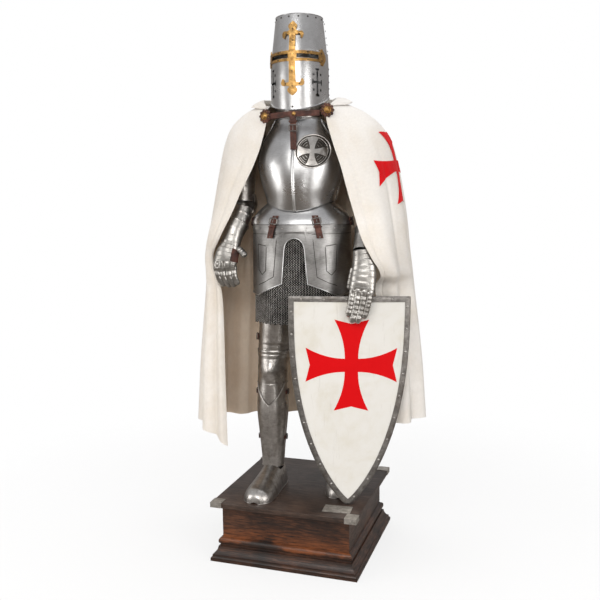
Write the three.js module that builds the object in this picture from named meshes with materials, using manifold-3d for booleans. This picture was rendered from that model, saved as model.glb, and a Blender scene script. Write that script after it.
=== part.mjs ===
// A display suit of plate armour on its plinth: great helm, breast and back plates, fauld with
// tassets, mail skirt, arm and leg harness, gauntlets, sabatons, a hooded mantle and a heater shield.
// Millimetres, +Z up, origin under the middle of the plinth. The suit faces -Y.

import * as THREE from 'three';
import { mergeVertices } from 'three/addons/utils/BufferGeometryUtils.js';
import Module from 'manifold-3d';

const wasm = await Module();
wasm.setup();

// ---------------------------------------------------------------- driving dimensions

const GAP = 0.3;                 // clearance between pieces that touch
const PLATE = 1.6;               // wall of the armour plates
const LAP = 1.4;                 // slack between plates that lap, for their facets
const CLOTH = 1.8;               // wall of the mantle's cloth
const MAIL = 3;                  // wall of the mail skirt
const LEATHER = 2.6;             // wall of the straps

const LID_TOP = 235.7;           // top of the plinth, where the feet stand
const LID_HALF = 288;
const LID_THICK = 19.7;
const BOX_HALF = 254;
const BOX_WALL = 18;
const BOX_FOOT = 90;             // height where the box meets the base moulding
const BASE_BOARD = 12;
const NAME_PLATE = { wide: 106, deep: 64, thick: 1.5, x: 198, y: -212, turn: 4 };
const SUIT_TURN = 6.5;           // degrees that the figure is turned on the plinth

const HELM_FRONT = 1478;         // lowest point of the helm, at the chin
const HELM_SIDE = 1533;          // lower edge of the helm at the sides and back
const HELM_TOP = 1826;
const HELM_COLUMNS = 28;         // facets round the helm
const SIGHT = { low: 1664, high: 1678, from: 12, to: 98, band: 38 };
const CROSS = { top: 1798, foot: 1529, bar: 15 };
const BREATH = { angle: 50, z: 1580, tall: 94, wide: 55, slot: 5 };

const BREAST_TOP = 1452;
const BREAST_CHIN = 1109;        // lowest point of the breastplate, at the middle
const BREAST_SIDE = 1148;
const FAULD_TOP = 1156;
const FAULD_FOOT = 1060;
const TASSET_TOP = 1074;
const ARCH = { half: 40, foot: 52, crown: 1008, spring: 960 };
const MAIL_TOP = 1032;
const MAIL_HEM = 678;

const SHIELD = { high: 792, half: 228, wall: 8, bulge: 20, rim: 22, cover: 1.8 };
const SHIELD_TIP = { x: 224, y: -161 };
const SHIELD_TURN = 18;          // degrees, towards the suit's left
const SHIELD_LEAN = 3;           // degrees, the top leaning back
const SHIELD_ROLL = 0.9;         // degrees in its own plane, the top to the suit's left

// ---------------------------------------------------------------- sections, heights above the lid

const HELM = [
  { z: 1440, wide: 109, front: 139, back: 124 },
  { z: 1540, wide: 109.5, front: 138, back: 124 },
  { z: 1670, wide: 108, front: 136, back: 122 },
  { z: 1760, wide: 99, front: 120, back: 110 },
  { z: 1826, wide: 91.5, front: 106, back: 100 },
];

const GORGET = [
  { z: 1425, wide: 88, front: 83, back: 80 },
  { z: 1455, wide: 89, front: 85, back: 81 },
  { z: 1495, wide: 96, front: 94, back: 90 },
  { z: 1545, wide: 107.4, front: 104, back: 100 },
];

const TORSO = [
  { z: 1100, wide: 134, front: 126, back: 92, reach: 95 },
  { z: 1150, wide: 135, front: 140, back: 95, reach: 95 },
  { z: 1200, wide: 149, front: 150, back: 102, reach: 95 },
  { z: 1250, wide: 161, front: 154, back: 110, reach: 95 },
  { z: 1300, wide: 166, front: 149, back: 115, reach: 90 },
  { z: 1360, wide: 152, front: 132, back: 113, reach: 74 },
  { z: 1420, wide: 119, front: 106, back: 100, reach: 62 },
  { z: 1460, wide: 98, front: 91, back: 88, reach: 60 },
];

const HIPS = [
  { z: 670, wide: 202, front: 152, back: 175 },
  { z: 790, wide: 200, front: 152, back: 172 },
  { z: 930, wide: 198, front: 151, back: 160 },
  { z: 1030, wide: 196, front: 144, back: 138 },
  { z: 1075, wide: 192, front: 133, back: 124 },
  { z: 1103, wide: 175, front: 120, back: 106 },
  { z: 1148, wide: 126, front: 106, back: 86 },
  { z: 1162, wide: 120, front: 102, back: 82 },
];

const THIGH = { low: 545, high: 800 };
const KNEE = { low: 424, high: 558 };
const SHIN = { low: 94, high: 432 };
const LEG = [
  { z: 60, side: 44, front: 44, back: 46, knee: 0 },
  { z: 120, side: 46, front: 47, back: 47, knee: 0 },
  { z: 220, side: 55, front: 55, back: 62, knee: 0 },
  { z: 310, side: 63, front: 60, back: 74, knee: 0 },
  { z: 380, side: 61, front: 60, back: 68, knee: 0 },
  { z: 440, side: 57, front: 58, back: 56, knee: 3 },
  { z: 478, side: 57, front: 59, back: 55, knee: 9 },
  { z: 520, side: 59, front: 59, back: 58, knee: 3 },
  { z: 560, side: 67, front: 62, back: 63, knee: 0 },
  { z: 630, side: 75, front: 68, back: 70, knee: 0 },
  { z: 800, side: 82, front: 78, back: 78, knee: 0 },
];
const LEG_AXES = {
  right: [
    { z: 60, x: -125, y: -21 },
    { z: 478, x: -127, y: 6 },
    { z: 630, x: -109, y: 18 },
    { z: 800, x: -94, y: 24 },
  ],
  left: [
    { z: 60, x: 135, y: 85 },
    { z: 478, x: 124, y: 50 },
    { z: 630, x: 105, y: 32 },
    { z: 800, x: 92, y: 24 },
  ],
};
const ELBOW = { lift: 3.5, bulge: 13 };
const FOOT_TURN = { right: -6.5, left: 8 };
const FOOT = [
  { ahead: -66, half: 16, high: 50 },
  { ahead: -56, half: 38, high: 88 },
  { ahead: -30, half: 47, high: 103 },
  { ahead: 20, half: 50, high: 104 },
  { ahead: 70, half: 53, high: 80 },
  { ahead: 130, half: 58, high: 61 },
  { ahead: 180, half: 59, high: 52 },
  { ahead: 207, half: 50, high: 42 },
  { ahead: 220, half: 30, high: 27 },
  { ahead: 223, half: 10, high: 12 },
];

// Stations of an arm from the wrist up to the shoulder; side and front are the half widths there.
const ARMS = {
  right: [
    { x: -275, y: -52, z: 985, side: 36, front: 32 },
    { x: -265, y: -32, z: 1032, side: 37, front: 36 },
    { x: -250, y: 0, z: 1085, side: 42, front: 42 },
    { x: -240, y: 20, z: 1130, side: 42, front: 44 },
    { x: -240, y: 26, z: 1190, side: 44, front: 47 },
    { x: -238, y: 26, z: 1260, side: 49, front: 54 },
    { x: -228, y: 22, z: 1335, side: 58, front: 63 },
    { x: -197, y: 18, z: 1418, side: 66, front: 70 },
  ],
  left: [
    { x: 257, y: -126, z: 955, side: 36, front: 32 },
    { x: 262, y: -90, z: 1000, side: 37, front: 36 },
    { x: 265, y: -34, z: 1055, side: 42, front: 42 },
    { x: 262, y: 18, z: 1105, side: 42, front: 44 },
    { x: 256, y: 34, z: 1180, side: 44, front: 47 },
    { x: 246, y: 34, z: 1260, side: 49, front: 54 },
    { x: 230, y: 26, z: 1335, side: 58, front: 63 },
    { x: 197, y: 18, z: 1418, side: 66, front: 70 },
  ],
};

// Stations of a hand from the wrist down; the first fingers start at the last one.
const HANDS = {
  right: [
    { x: -276, y: -54, z: 980, side: 37, front: 30 },
    { x: -286, y: -70, z: 940, side: 44, front: 25 },
    { x: -292, y: -80, z: 900, side: 44, front: 21 },
  ],
  left: [
    { x: 257, y: -129, z: 950, side: 37, front: 30 },
    { x: 263, y: -143, z: 900, side: 42, front: 25 },
    { x: 262, y: -155, z: 842, side: 44, front: 21 },
  ],
};
const FINGERS = {
  right: [
    { x: -291, y: -80, z: 888 },
    { x: -288, y: -80, z: 860 },
    { x: -280, y: -66, z: 832 },
    { x: -272, y: -44, z: 814 },
  ],
  left: [
    { x: 261, y: -157, z: 834 },
    { x: 254, y: -163, z: 790 },
    { x: 242, y: -166, z: 742 },
    { x: 228, y: -170, z: 692 },
  ],
};
const FINGER_SETS = [           // from the index finger to the little one
  { shift: 33, radius: 9.5, reach: 0.9 },
  { shift: 11.5, radius: 10.5, reach: 1 },
  { shift: -11, radius: 10, reach: 0.96 },
  { shift: -32, radius: 9, reach: 0.8 },
];
const THUMBS = {
  right: [
    { x: -229, y: -66, z: 956 },
    { x: -224, y: -74, z: 936 },
    { x: -222, y: -82, z: 910 },
  ],
  left: [
    { x: 207, y: -136, z: 900 },
    { x: 198, y: -124, z: 860 },
    { x: 188, y: -116, z: 808 },
  ],
};

// The mantle, row by row from the neck to the hem: half width, how much more it is over the left
// arm, where the widest point lies, the depth behind it, and the free front edge on each side.
const MANTLE_COLUMNS = [
  'z', 'wide', 'more', 'mid', 'back', 'edge', 'rightX', 'rightY', 'leftX', 'leftY',
];
const MANTLE = [
  [1508, 118, 0, 22, 84, 1466, -106, -97, 118, -111],
  [1512, 158, 0, 24, 98, 1428, -112, -102, 124, -114],
  [1486, 224, 4, 30, 110, 1386, -122, -106, 136, -117],
  [1436, 284, 12, 45, 110, 1336, -138, -107, 152, -120],
  [1368, 320, 20, 75, 92, 1272, -166, -105, 174, -121],
  [1270, 346, 20, 100, 80, 1190, -212, -98, 196, -122],
  [1160, 370, 15, 112, 84, 1100, -258, -92, 222, -126],
  [1050, 390, 9, 118, 92, 1010, -308, -92, 254, -158],
  [950, 402, 5, 120, 98, 935, -350, -56, 292, -172],
  [860, 412, 2, 122, 102, 860, -330, -52, 322, -140],
  [770, 420, 0, 124, 106, 770, -316, -54, 294, -58],
  [500, 448, 0, 126, 116, 500, -312, -60, 344, -66],
  [235, 468, 0, 128, 124, 235, -308, -62, 350, -74],
].map((row) => Object.fromEntries(MANTLE_COLUMNS.map((column, k) => [column, row[k]])));
const BACK_SHARE = 0.64;         // share of each half of the mantle that lies behind its widest point
const MANTLE_SEAM = 0.38;        // where the side panels meet the back panel
const SIDE_COLUMNS = 20;
const CLOTH_ROWS = 10;
const BADGE = { y: 58, z: 1270, arm: 133, neck: 19, end: 50, notch: 12, lift: 3.2 };
const FOLDS = [
  { at: -0.97, half: 0.05, deep: 16 },
  { at: -0.85, half: 0.075, deep: 30 },
  { at: -0.70, half: 0.07, deep: 26 },
  { at: -0.55, half: 0.08, deep: 38 },
  { at: -0.39, half: 0.075, deep: 34 },
  { at: -0.23, half: 0.08, deep: 42 },
  { at: -0.07, half: 0.075, deep: 34 },
  { at: 0.09, half: 0.08, deep: 40 },
  { at: 0.25, half: 0.075, deep: 36 },
  { at: 0.41, half: 0.08, deep: 42 },
  { at: 0.57, half: 0.075, deep: 32 },
  { at: 0.72, half: 0.07, deep: 36 },
  { at: 0.87, half: 0.075, deep: 26 },
];
const HEM = [
  { at: -1, z: 160 },
  { at: -0.9, z: 205 },
  { at: -0.75, z: 232 },
  { at: -0.3, z: 222 },
  { at: 0.2, z: 245 },
  { at: 0.6, z: 285 },
  { at: 1, z: 292 },
];

// The hood, lying in a roll round the neck and down the back, by its angle from the back.
const HOOD = [
  { angle: -128, out: 152, z: 1497, broad: 20, thick: 11, slope: 50 },
  { angle: -100, out: 170, z: 1521, broad: 56, thick: 14, slope: 24 },
  { angle: -60, out: 162, z: 1529, broad: 54, thick: 16, slope: 24 },
  { angle: -30, out: 152, z: 1500, broad: 86, thick: 24, slope: 72 },
  { angle: 0, out: 152, z: 1470, broad: 116, thick: 26, slope: 80 },
  { angle: 30, out: 152, z: 1500, broad: 86, thick: 24, slope: 72 },
  { angle: 60, out: 162, z: 1529, broad: 54, thick: 16, slope: 24 },
  { angle: 100, out: 170, z: 1521, broad: 56, thick: 14, slope: 24 },
  { angle: 128, out: 157, z: 1500, broad: 20, thick: 11, slope: 50 },
];

// ---------------------------------------------------------------- finishes

const finish = (color, roughness, metalness) =>
  new THREE.MeshStandardMaterial({ color, roughness, metalness });
const STEEL = finish(0xb4b5b8, 0.32, 1);
const DARK_STEEL = finish(0x77746f, 0.42, 1);
const BRASS = finish(0xc9973f, 0.35, 1);
const IRON = finish(0x6d6864, 0.5, 1);
const CLOTH_WHITE = finish(0xefe9df, 0.9, 0);
const CLOTH_RED = finish(0xd5101c, 0.85, 0);
const HIDE = finish(0x4a221a, 0.6, 0);
const RINGS = finish(0x4c4844, 0.55, 0.8);
const PAINT = finish(0xe6e1d3, 0.75, 0);
const OAK = finish(0x35211a, 0.45, 0);

// ---------------------------------------------------------------- helpers

const { degToRad: rad, lerp, clamp } = THREE.MathUtils;
const vec = (x, y, z) => new THREE.Vector3(x, y, z);
const suit = new THREE.Group();
const figure = new THREE.Group();
figure.position.z = LID_TOP + GAP;
figure.rotation.z = rad(SUIT_TURN);
suit.add(figure);

function add(name, geometry, material, parent = figure) {
  geometry.computeVertexNormals();
  const mesh = new THREE.Mesh(geometry, material);
  mesh.name = name;
  parent.add(mesh);
  return mesh;
}

// A column of a table at a given station, on a smooth curve through its rows.
function along(rows, column, at, station = 'z') {
  const last = rows.length - 1;
  let low = 0;
  while (low < last - 1 && at > rows[low + 1][station]) low += 1;
  const high = low + 1;
  const span = rows[high][station] - rows[low][station];
  const slope = (a, b) =>
    (rows[b][column] - rows[a][column]) / (rows[b][station] - rows[a][station]);
  const leaving = slope(Math.max(low - 1, 0), high) * span;
  const arriving = slope(low, Math.min(high + 1, last)) * span;
  const t = (at - rows[low][station]) / span;
  const rise = t * t * (3 - 2 * t);
  return lerp(rows[low][column], rows[high][column], rise)
    + leaving * t * (1 - t) ** 2 - arriving * t * t * (1 - t);
}

// The same, for rows that are evenly spaced from 0 to 1.
function between(rows, column, share) {
  const numbered = rows.map((row, index) => ({ value: row[column], index }));
  return along(numbered, 'value', share * (rows.length - 1), 'index');
}

function closed(points, faces) {
  const geometry = new THREE.BufferGeometry();
  const flat = points.flatMap((point) => [point.x, point.y, point.z]);
  geometry.setAttribute('position', new THREE.Float32BufferAttribute(flat, 3));
  geometry.setIndex(faces);
  return geometry;
}

// A wall on a surface: surface(u, v) is its outer face for u and v from 0 to 1, and the wall lies
// behind it. A ring joins its last column to its first.
function shell(surface, columns, rows, wall, ring = false) {
  const count = ring ? columns : columns + 1;
  const nudge = 1e-3;
  const outer = [];
  const inner = [];
  for (let j = 0; j <= rows; j += 1) {
    for (let i = 0; i < count; i += 1) {
      const [u, v] = [i / columns, j / rows];
      const point = surface(u, v);
      const across = surface(u + nudge, v).sub(surface(u - nudge, v));
      const up = surface(u, v + nudge).sub(surface(u, v - nudge));
      const normal = across.cross(up).normalize();
      outer.push(point);
      inner.push(point.clone().addScaledVector(normal, -wall));
    }
  }
  const back = outer.length;
  const at = (i, j) => j * count + (i % count);
  const faces = [];
  const quad = (a, b, c, d) => faces.push(a, b, c, a, c, d);
  for (let j = 0; j < rows; j += 1) {
    for (let i = 0; i < columns; i += 1) {
      const [a, b, c, d] = [at(i, j), at(i + 1, j), at(i + 1, j + 1), at(i, j + 1)];
      quad(a, b, c, d);
      quad(a + back, d + back, c + back, b + back);
    }
  }
  for (let i = 0; i < columns; i += 1) {
    const [a, b] = [at(i, 0), at(i + 1, 0)];
    const [c, d] = [at(i + 1, rows), at(i, rows)];
    quad(b, a, a + back, b + back);
    quad(d, c, c + back, d + back);
  }
  if (!ring) {
    for (let j = 0; j < rows; j += 1) {
      const [a, d] = [at(0, j), at(0, j + 1)];
      const [b, c] = [at(columns, j), at(columns, j + 1)];
      quad(a, d, d + back, a + back);
      quad(c, b, b + back, c + back);
    }
  }
  return closed([...outer, ...inner], faces);
}

// A solid rod: section(u, v) goes once round for u from 0 to 1, and its ends are closed.
function rod(section, columns, rows) {
  const points = [];
  for (let j = 0; j <= rows; j += 1) {
    for (let i = 0; i < columns; i += 1) points.push(section(i / columns, j / rows));
  }
  const faces = [];
  const at = (i, j) => j * columns + (i % columns);
  for (let j = 0; j < rows; j += 1) {
    for (let i = 0; i < columns; i += 1) {
      const [a, b, c, d] = [at(i, j), at(i + 1, j), at(i + 1, j + 1), at(i, j + 1)];
      faces.push(a, b, c, a, c, d);
    }
  }
  for (let i = 1; i < columns - 1; i += 1) {
    faces.push(at(0, 0), at(i + 1, 0), at(i, 0));
    faces.push(at(0, rows), at(i, rows), at(i + 1, rows));
  }
  return closed(points, faces);
}

function solid(geometry) {
  const bare = geometry.clone();
  bare.deleteAttribute('normal');
  bare.deleteAttribute('uv');
  const merged = mergeVertices(bare, 1e-4);
  return new wasm.Manifold(new wasm.Mesh({
    numProp: 3,
    vertProperties: new Float32Array(merged.attributes.position.array),
    triVerts: new Uint32Array(merged.index.array),
  }));
}

function surfaceOf(manifold) {
  const mesh = manifold.getMesh();
  const geometry = new THREE.BufferGeometry();
  geometry.setAttribute('position', new THREE.BufferAttribute(mesh.vertProperties, 3));
  geometry.setIndex(new THREE.BufferAttribute(mesh.triVerts, 1));
  return geometry;
}

const cut = (geometry, ...tools) =>
  surfaceOf(tools.reduce((left, tool) => left.subtract(solid(tool)), solid(geometry)));
const common = (geometry, tool) => surfaceOf(solid(geometry).intersect(solid(tool)));
const joined = (geometry, ...others) =>
  surfaceOf(others.reduce((whole, other) => whole.add(solid(other)), solid(geometry)));

function block(wide, deep, high, x, y, z) {
  return new THREE.BoxGeometry(wide, deep, high).translate(x, y, z);
}

// An outline in the XZ plane, extruded along Y from near to far.
function prism(points, near, far) {
  const outline = new THREE.Shape(points.map(({ x, z }) => new THREE.Vector2(x, z)));
  const geometry = new THREE.ExtrudeGeometry(outline, { depth: far - near, bevelEnabled: false });
  return geometry.rotateX(Math.PI / 2).translate(0, far, 0);
}

// A point of an oval section: angle 0 is the front, and it turns towards the suit's left.
function oval(rows, z, angle, lift = 0) {
  const wide = along(rows, 'wide', z) + lift;
  const deep = along(rows, Math.cos(angle) > 0 ? 'front' : 'back', z) + lift;
  return vec(wide * Math.sin(angle), -deep * Math.cos(angle), z);
}

// ---------------------------------------------------------------- plinth

// A closed profile of { out, z } carried round a square of the given half width.
function squareRing(half, profile) {
  const corners = [[-1, -1], [1, -1], [1, 1], [-1, 1]];
  const points = corners.flatMap(([x, y]) =>
    profile.map(({ out, z }) => vec(x * (half + out), y * (half + out), z)));
  const count = profile.length;
  const faces = [];
  for (let corner = 0; corner < 4; corner += 1) {
    for (let k = 0; k < count; k += 1) {
      const next = (corner + 1) % 4;
      const a = corner * count + k;
      const b = next * count + k;
      const c = next * count + ((k + 1) % count);
      const d = corner * count + ((k + 1) % count);
      faces.push(a, b, c, a, c, d);
    }
  }
  return closed(points, faces);
}

function addPlinth() {
  const boxTop = LID_TOP - LID_THICK - GAP;
  const moulding = [
    { out: -BOX_WALL, z: 0 },
    { out: 39, z: 0 },
    { out: 39, z: 12 },
    { out: 33, z: 24 },
    { out: 24, z: 34 },
    { out: 17, z: 44 },
    { out: 14, z: 54 },
    { out: 8, z: 57 },
    { out: 7, z: 63 },
    { out: 12, z: 67 },
    { out: 14, z: 75 },
    { out: 11, z: 83 },
    { out: 3, z: 88 },
    { out: 0, z: BOX_FOOT },
    { out: -BOX_WALL, z: BOX_FOOT },
  ];
  const sides = [
    { out: -BOX_WALL, z: BOX_FOOT + GAP },
    { out: 0, z: BOX_FOOT + GAP },
    { out: 0, z: boxTop },
    { out: -BOX_WALL, z: boxTop },
  ];
  const inside = 2 * (BOX_HALF - BOX_WALL - GAP);
  const lid = block(2 * LID_HALF, 2 * LID_HALF, LID_THICK, 0, 0, LID_TOP - LID_THICK / 2);
  add('plinth_lid', lid, OAK, suit);
  add('plinth_box', squareRing(BOX_HALF, sides), OAK, suit);
  add('plinth_moulding', squareRing(BOX_HALF, moulding), OAK, suit);
  add('plinth_bottom', block(inside, inside, BASE_BOARD, 0, 0, BASE_BOARD / 2), OAK, suit);
  const { wide, deep, thick, x, y, turn } = NAME_PLATE;
  const plate = block(wide, deep, thick, 0, 0, LID_TOP + GAP + thick / 2);
  plate.rotateZ(rad(turn)).translate(x, y, 0);
  add('name_plate', plate, IRON, suit);
  addBrackets();
}

// Sheet-metal corners folded over the lid: a top flange and two side flanges.
function addBrackets() {
  const LEG_LONG = 44;
  const WALL = 1.4;
  const out = LID_HALF + GAP;
  const grip = LID_HALF - LEG_LONG;
  const corners = [
    { name: 'front_left', x: -1, y: -1 },
    { name: 'front_right', x: 1, y: -1 },
    { name: 'back_right', x: 1, y: 1 },
    { name: 'back_left', x: -1, y: 1 },
  ];
  const size = out + WALL - grip;
  const middle = grip + size / 2;
  const foot = LID_TOP - LID_THICK + 1;
  const high = LID_TOP + GAP + WALL - foot;
  for (const { name, x, y } of corners) {
    const outer = block(size, size, high, x * middle, y * middle, foot + high / 2);
    const lidSpace = block(2 * out, 2 * out, 2 * LID_THICK, 0, 0, LID_TOP + GAP - LID_THICK);
    add(`corner_${name}`, cut(outer, lidSpace), IRON, suit);
  }
}

// ---------------------------------------------------------------- helm

const helm = (u, z, lift = 0) => oval(HELM, z, u * 2 * Math.PI, lift);

// The lower edge runs level round the back and sides and dips to a point at the chin.
function helmFoot(u) {
  const toFront = Math.abs(((u + 0.5) % 1) - 0.5) * 4;
  const near = Math.max(0, 1 - toFront / 1.05);
  return lerp(HELM_SIDE, HELM_FRONT, Math.sin(near * Math.PI / 2) ** 1.15);
}

// The upright of the brass cross, with a fleury head of three lobes at each end.
function fleuryCross() {
  const middle = (SIGHT.low + SIGHT.high) / 2;
  const { top, foot } = CROSS;
  const halfUp = [
    { x: CROSS.bar, z: middle },
    { x: CROSS.bar, z: top - 70 },
    { x: 24, z: top - 62 },
    { x: 37, z: top - 62 },
    { x: 36, z: top - 40 },
    { x: 20, z: top - 34 },
    { x: 14, z: top - 14 },
    { x: 0, z: top },
  ];
  const halfDown = [
    { x: 0, z: foot },
    { x: 12, z: foot + 12 },
    { x: 18, z: foot + 28 },
    { x: 36, z: foot + 32 },
    { x: 37, z: foot + 50 },
    { x: 22, z: foot + 52 },
    { x: CROSS.bar, z: foot + 64 },
  ];
  const rightSide = [...halfDown, ...halfUp];
  const leftSide = rightSide.slice(1, -1).reverse().map(({ x, z }) => ({ x: -x, z }));
  return prism([...rightSide, ...leftSide], -200, 0);
}

function addHelm() {
  const middle = (SIGHT.low + SIGHT.high) / 2;
  const lap = 22;
  const face = (u, v) => helm(u, lerp(helmFoot(u), middle + lap, v));
  const skull = (u, v) => helm(u, lerp(middle - lap, HELM_TOP, v), -PLATE - LAP);
  const slits = [-1, 1].map((side) => {
    const wide = SIGHT.to - SIGHT.from;
    const x = side * (SIGHT.from + SIGHT.to) / 2;
    return block(wide, 200, SIGHT.high - SIGHT.low, x, -120, middle);
  });
  const breaths = [-1, 1].flatMap((side) => [
    block(BREATH.slot, 60, BREATH.tall, 0, -130, BREATH.z).rotateZ(side * rad(BREATH.angle)),
    block(BREATH.wide, 60, BREATH.slot, 0, -130, BREATH.z).rotateZ(side * rad(BREATH.angle)),
  ]);
  add('helm_face', cut(shell(face, HELM_COLUMNS, 3, PLATE, true), ...slits, ...breaths), STEEL);
  add('helm_skull', cut(shell(skull, HELM_COLUMNS, 3, PLATE, true), ...slits), STEEL);
  const disc = (u, v) => helm(u, HELM_TOP + GAP, -PLATE - LAP).setZ(HELM_TOP + GAP + v * PLATE);
  add('helm_top', rod(disc, HELM_COLUMNS, 1), STEEL);
  const band = (u, v) => helm(u / 2 - 0.25, lerp(1500, 1815, v), LAP + 2);
  const arms = block(212, 200, SIGHT.band, 0, -110, middle);
  const badge = common(shell(band, HELM_COLUMNS / 2, 6, 2), joined(fleuryCross(), arms));
  add('helm_cross', cut(badge, ...slits, block(400, 400, 400, 0, 226, 1700)), BRASS);
}

// ---------------------------------------------------------------- body plates

// A plate on a table of sections, between two angles from the front, each edge given by a function.
function bodyPlate(rows, { from, to, low, high, lift = 0, wall = PLATE, columns = 20, steps = 3 }) {
  const surface = (u, v) => {
    const level = lerp(low((from(0) + to(0)) / 2), high(0), v);
    const angle = lerp(from(level), to(level), u);
    return oval(rows, lerp(low(angle), high(angle), v), rad(angle), lift);
  };
  return shell(surface, columns, steps, wall);
}

const fixed = (value) => () => value;
const reach = (z) => along(TORSO, 'reach', clamp(z, TORSO[0].z, BREAST_TOP));
const dip = (angle) => Math.max(0, Math.cos(rad(angle)));

function addTorso() {
  add('breastplate', bodyPlate(TORSO, {
    from: (z) => -reach(z),
    to: (z) => reach(z),
    low: (angle) => lerp(BREAST_SIDE, BREAST_CHIN, dip(angle) ** 2.2),
    high: fixed(BREAST_TOP),
    columns: 16,
    steps: 7,
  }), STEEL);
  add('backplate', bodyPlate(TORSO, {
    from: (z) => 182 - reach(z),
    to: (z) => 178 + reach(z),
    low: fixed(BREAST_SIDE),
    high: fixed(BREAST_TOP),
    lift: -PLATE - LAP,
    columns: 14,
    steps: 5,
  }), STEEL);
  const collar = (u, v) => oval(GORGET, lerp(1428, 1544, v), u * 2 * Math.PI);
  add('gorget', shell(collar, 20, 2, PLATE, true), DARK_STEEL);
  add('fauld', bodyPlate(HIPS, {
    from: fixed(-97),
    to: fixed(97),
    low: fixed(FAULD_FOOT),
    high: fixed(FAULD_TOP),
    columns: 18,
    steps: 4,
  }), STEEL);
  const archPoints = [
    { x: -ARCH.foot, z: 700 },
    { x: ARCH.foot, z: 700 },
    { x: ARCH.foot, z: 800 },
    { x: ARCH.half, z: ARCH.spring },
  ];
  const turns = 10;
  for (let k = 1; k < turns; k += 1) {
    const angle = Math.PI * k / turns;
    const rise = (ARCH.crown - ARCH.spring) * Math.sin(angle);
    archPoints.push({ x: ARCH.half * Math.cos(angle), z: ARCH.spring + rise });
  }
  archPoints.push({ x: -ARCH.half, z: ARCH.spring }, { x: -ARCH.foot, z: 800 });
  const skirt = bodyPlate(HIPS, {
    from: fixed(-97),
    to: fixed(97),
    low: (angle) => tassetFoot(Math.abs(angle)),
    high: fixed(TASSET_TOP),
    lift: -PLATE - LAP,
    columns: 18,
    steps: 3,
  });
  add('tassets', cut(skirt, prism(archPoints, -200, -60)), STEEL);
  add('culet', bodyPlate(HIPS, {
    from: fixed(90),
    to: fixed(270),
    low: fixed(850),
    high: fixed(FAULD_TOP),
    lift: -2 * (PLATE + LAP) - 1,
    columns: 12,
    steps: 5,
  }), STEEL);
  const mail = (u, v) =>
    oval(HIPS, lerp(MAIL_HEM, MAIL_TOP, v), u * 2 * Math.PI, -3 * (PLATE + LAP));
  add('mail_skirt', shell(mail, 24, 2, MAIL, true), RINGS);
}

// The tassets' lower edge: highest at the arch, lowest part way round, and up again at the hip.
function tassetFoot(angle) {
  const low = 52;
  const down = lerp(836, 788, clamp((angle - 15) / (low - 15), 0, 1));
  return angle < low ? down : lerp(788, 800, (angle - low) / (97 - low));
}

function addHipStraps() {
  const tilt = 5.5;
  for (const [name, side] of [['right', -1], ['left', 1]]) {
    const slip = (u, v) => {
      const angle = side * (23.5 + tilt * (1 - v)) + (u - 0.5) * 9;
      return oval(HIPS, lerp(1008, 1092, v), rad(angle), LEATHER + LAP);
    };
    add(`hip_strap_${name}`, shell(slip, 2, 6, LEATHER), HIDE);
    const lace = (u, v) =>
      oval(HIPS, lerp(1052, 1084, v), rad(side * 96 + (u - 0.5) * 34), LEATHER + LAP);
    add(`side_strap_${name}`, shell(lace, 8, 2, LEATHER), HIDE);
  }
}

// ---------------------------------------------------------------- arms and hands

// A point on a limb: the frame follows the limb, and angle 0 faces the front.
function limb(stations, share, angle, lift = 0) {
  const centre = (t) => vec(...['x', 'y', 'z'].map((column) => between(stations, column, t)));
  const axis = centre(share + 0.01).sub(centre(share - 0.01)).normalize();
  const front = vec(0, -1, 0).addScaledVector(axis, axis.y).normalize();
  const side = axis.clone().cross(front);
  const wide = (between(stations, 'side', share) + lift) * Math.sin(angle);
  const deep = (between(stations, 'front', share) + lift) * Math.cos(angle);
  return centre(share).addScaledVector(side, wide).addScaledVector(front, deep);
}

function sleeve(stations, from, to, lift, flare = 0) {
  return (u, v) => limb(stations, lerp(from, to, v), u * 2 * Math.PI, lift + flare * Math.abs(v) ** 1.5);
}

// A finger is a rod that narrows to a round tip; its course is shifted across the hand.
function fingerRod(course, shift, radius, reachShare) {
  return rod((u, v) => {
    const share = v * reachShare;
    const tip = Math.sqrt(Math.max(0, 1 - Math.max(0, (v - 0.8) / 0.2) ** 2 * 0.9));
    const spread = shift * (1 - 0.25 * v);
    const centre = vec(...['x', 'y', 'z'].map((column) => between(course, column, share)));
    const ahead = vec(...['x', 'y', 'z'].map((column) => between(course, column, share + 0.02)));
    const axis = ahead.sub(centre).normalize();
    const side = vec(1, 0, 0).addScaledVector(axis, -axis.x).normalize();
    const front = side.clone().cross(axis);
    const turn = u * 2 * Math.PI;
    return centre
      .addScaledVector(side, spread + radius * tip * Math.sin(turn))
      .addScaledVector(front, radius * tip * Math.cos(turn));
  }, 6, 5);
}

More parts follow.
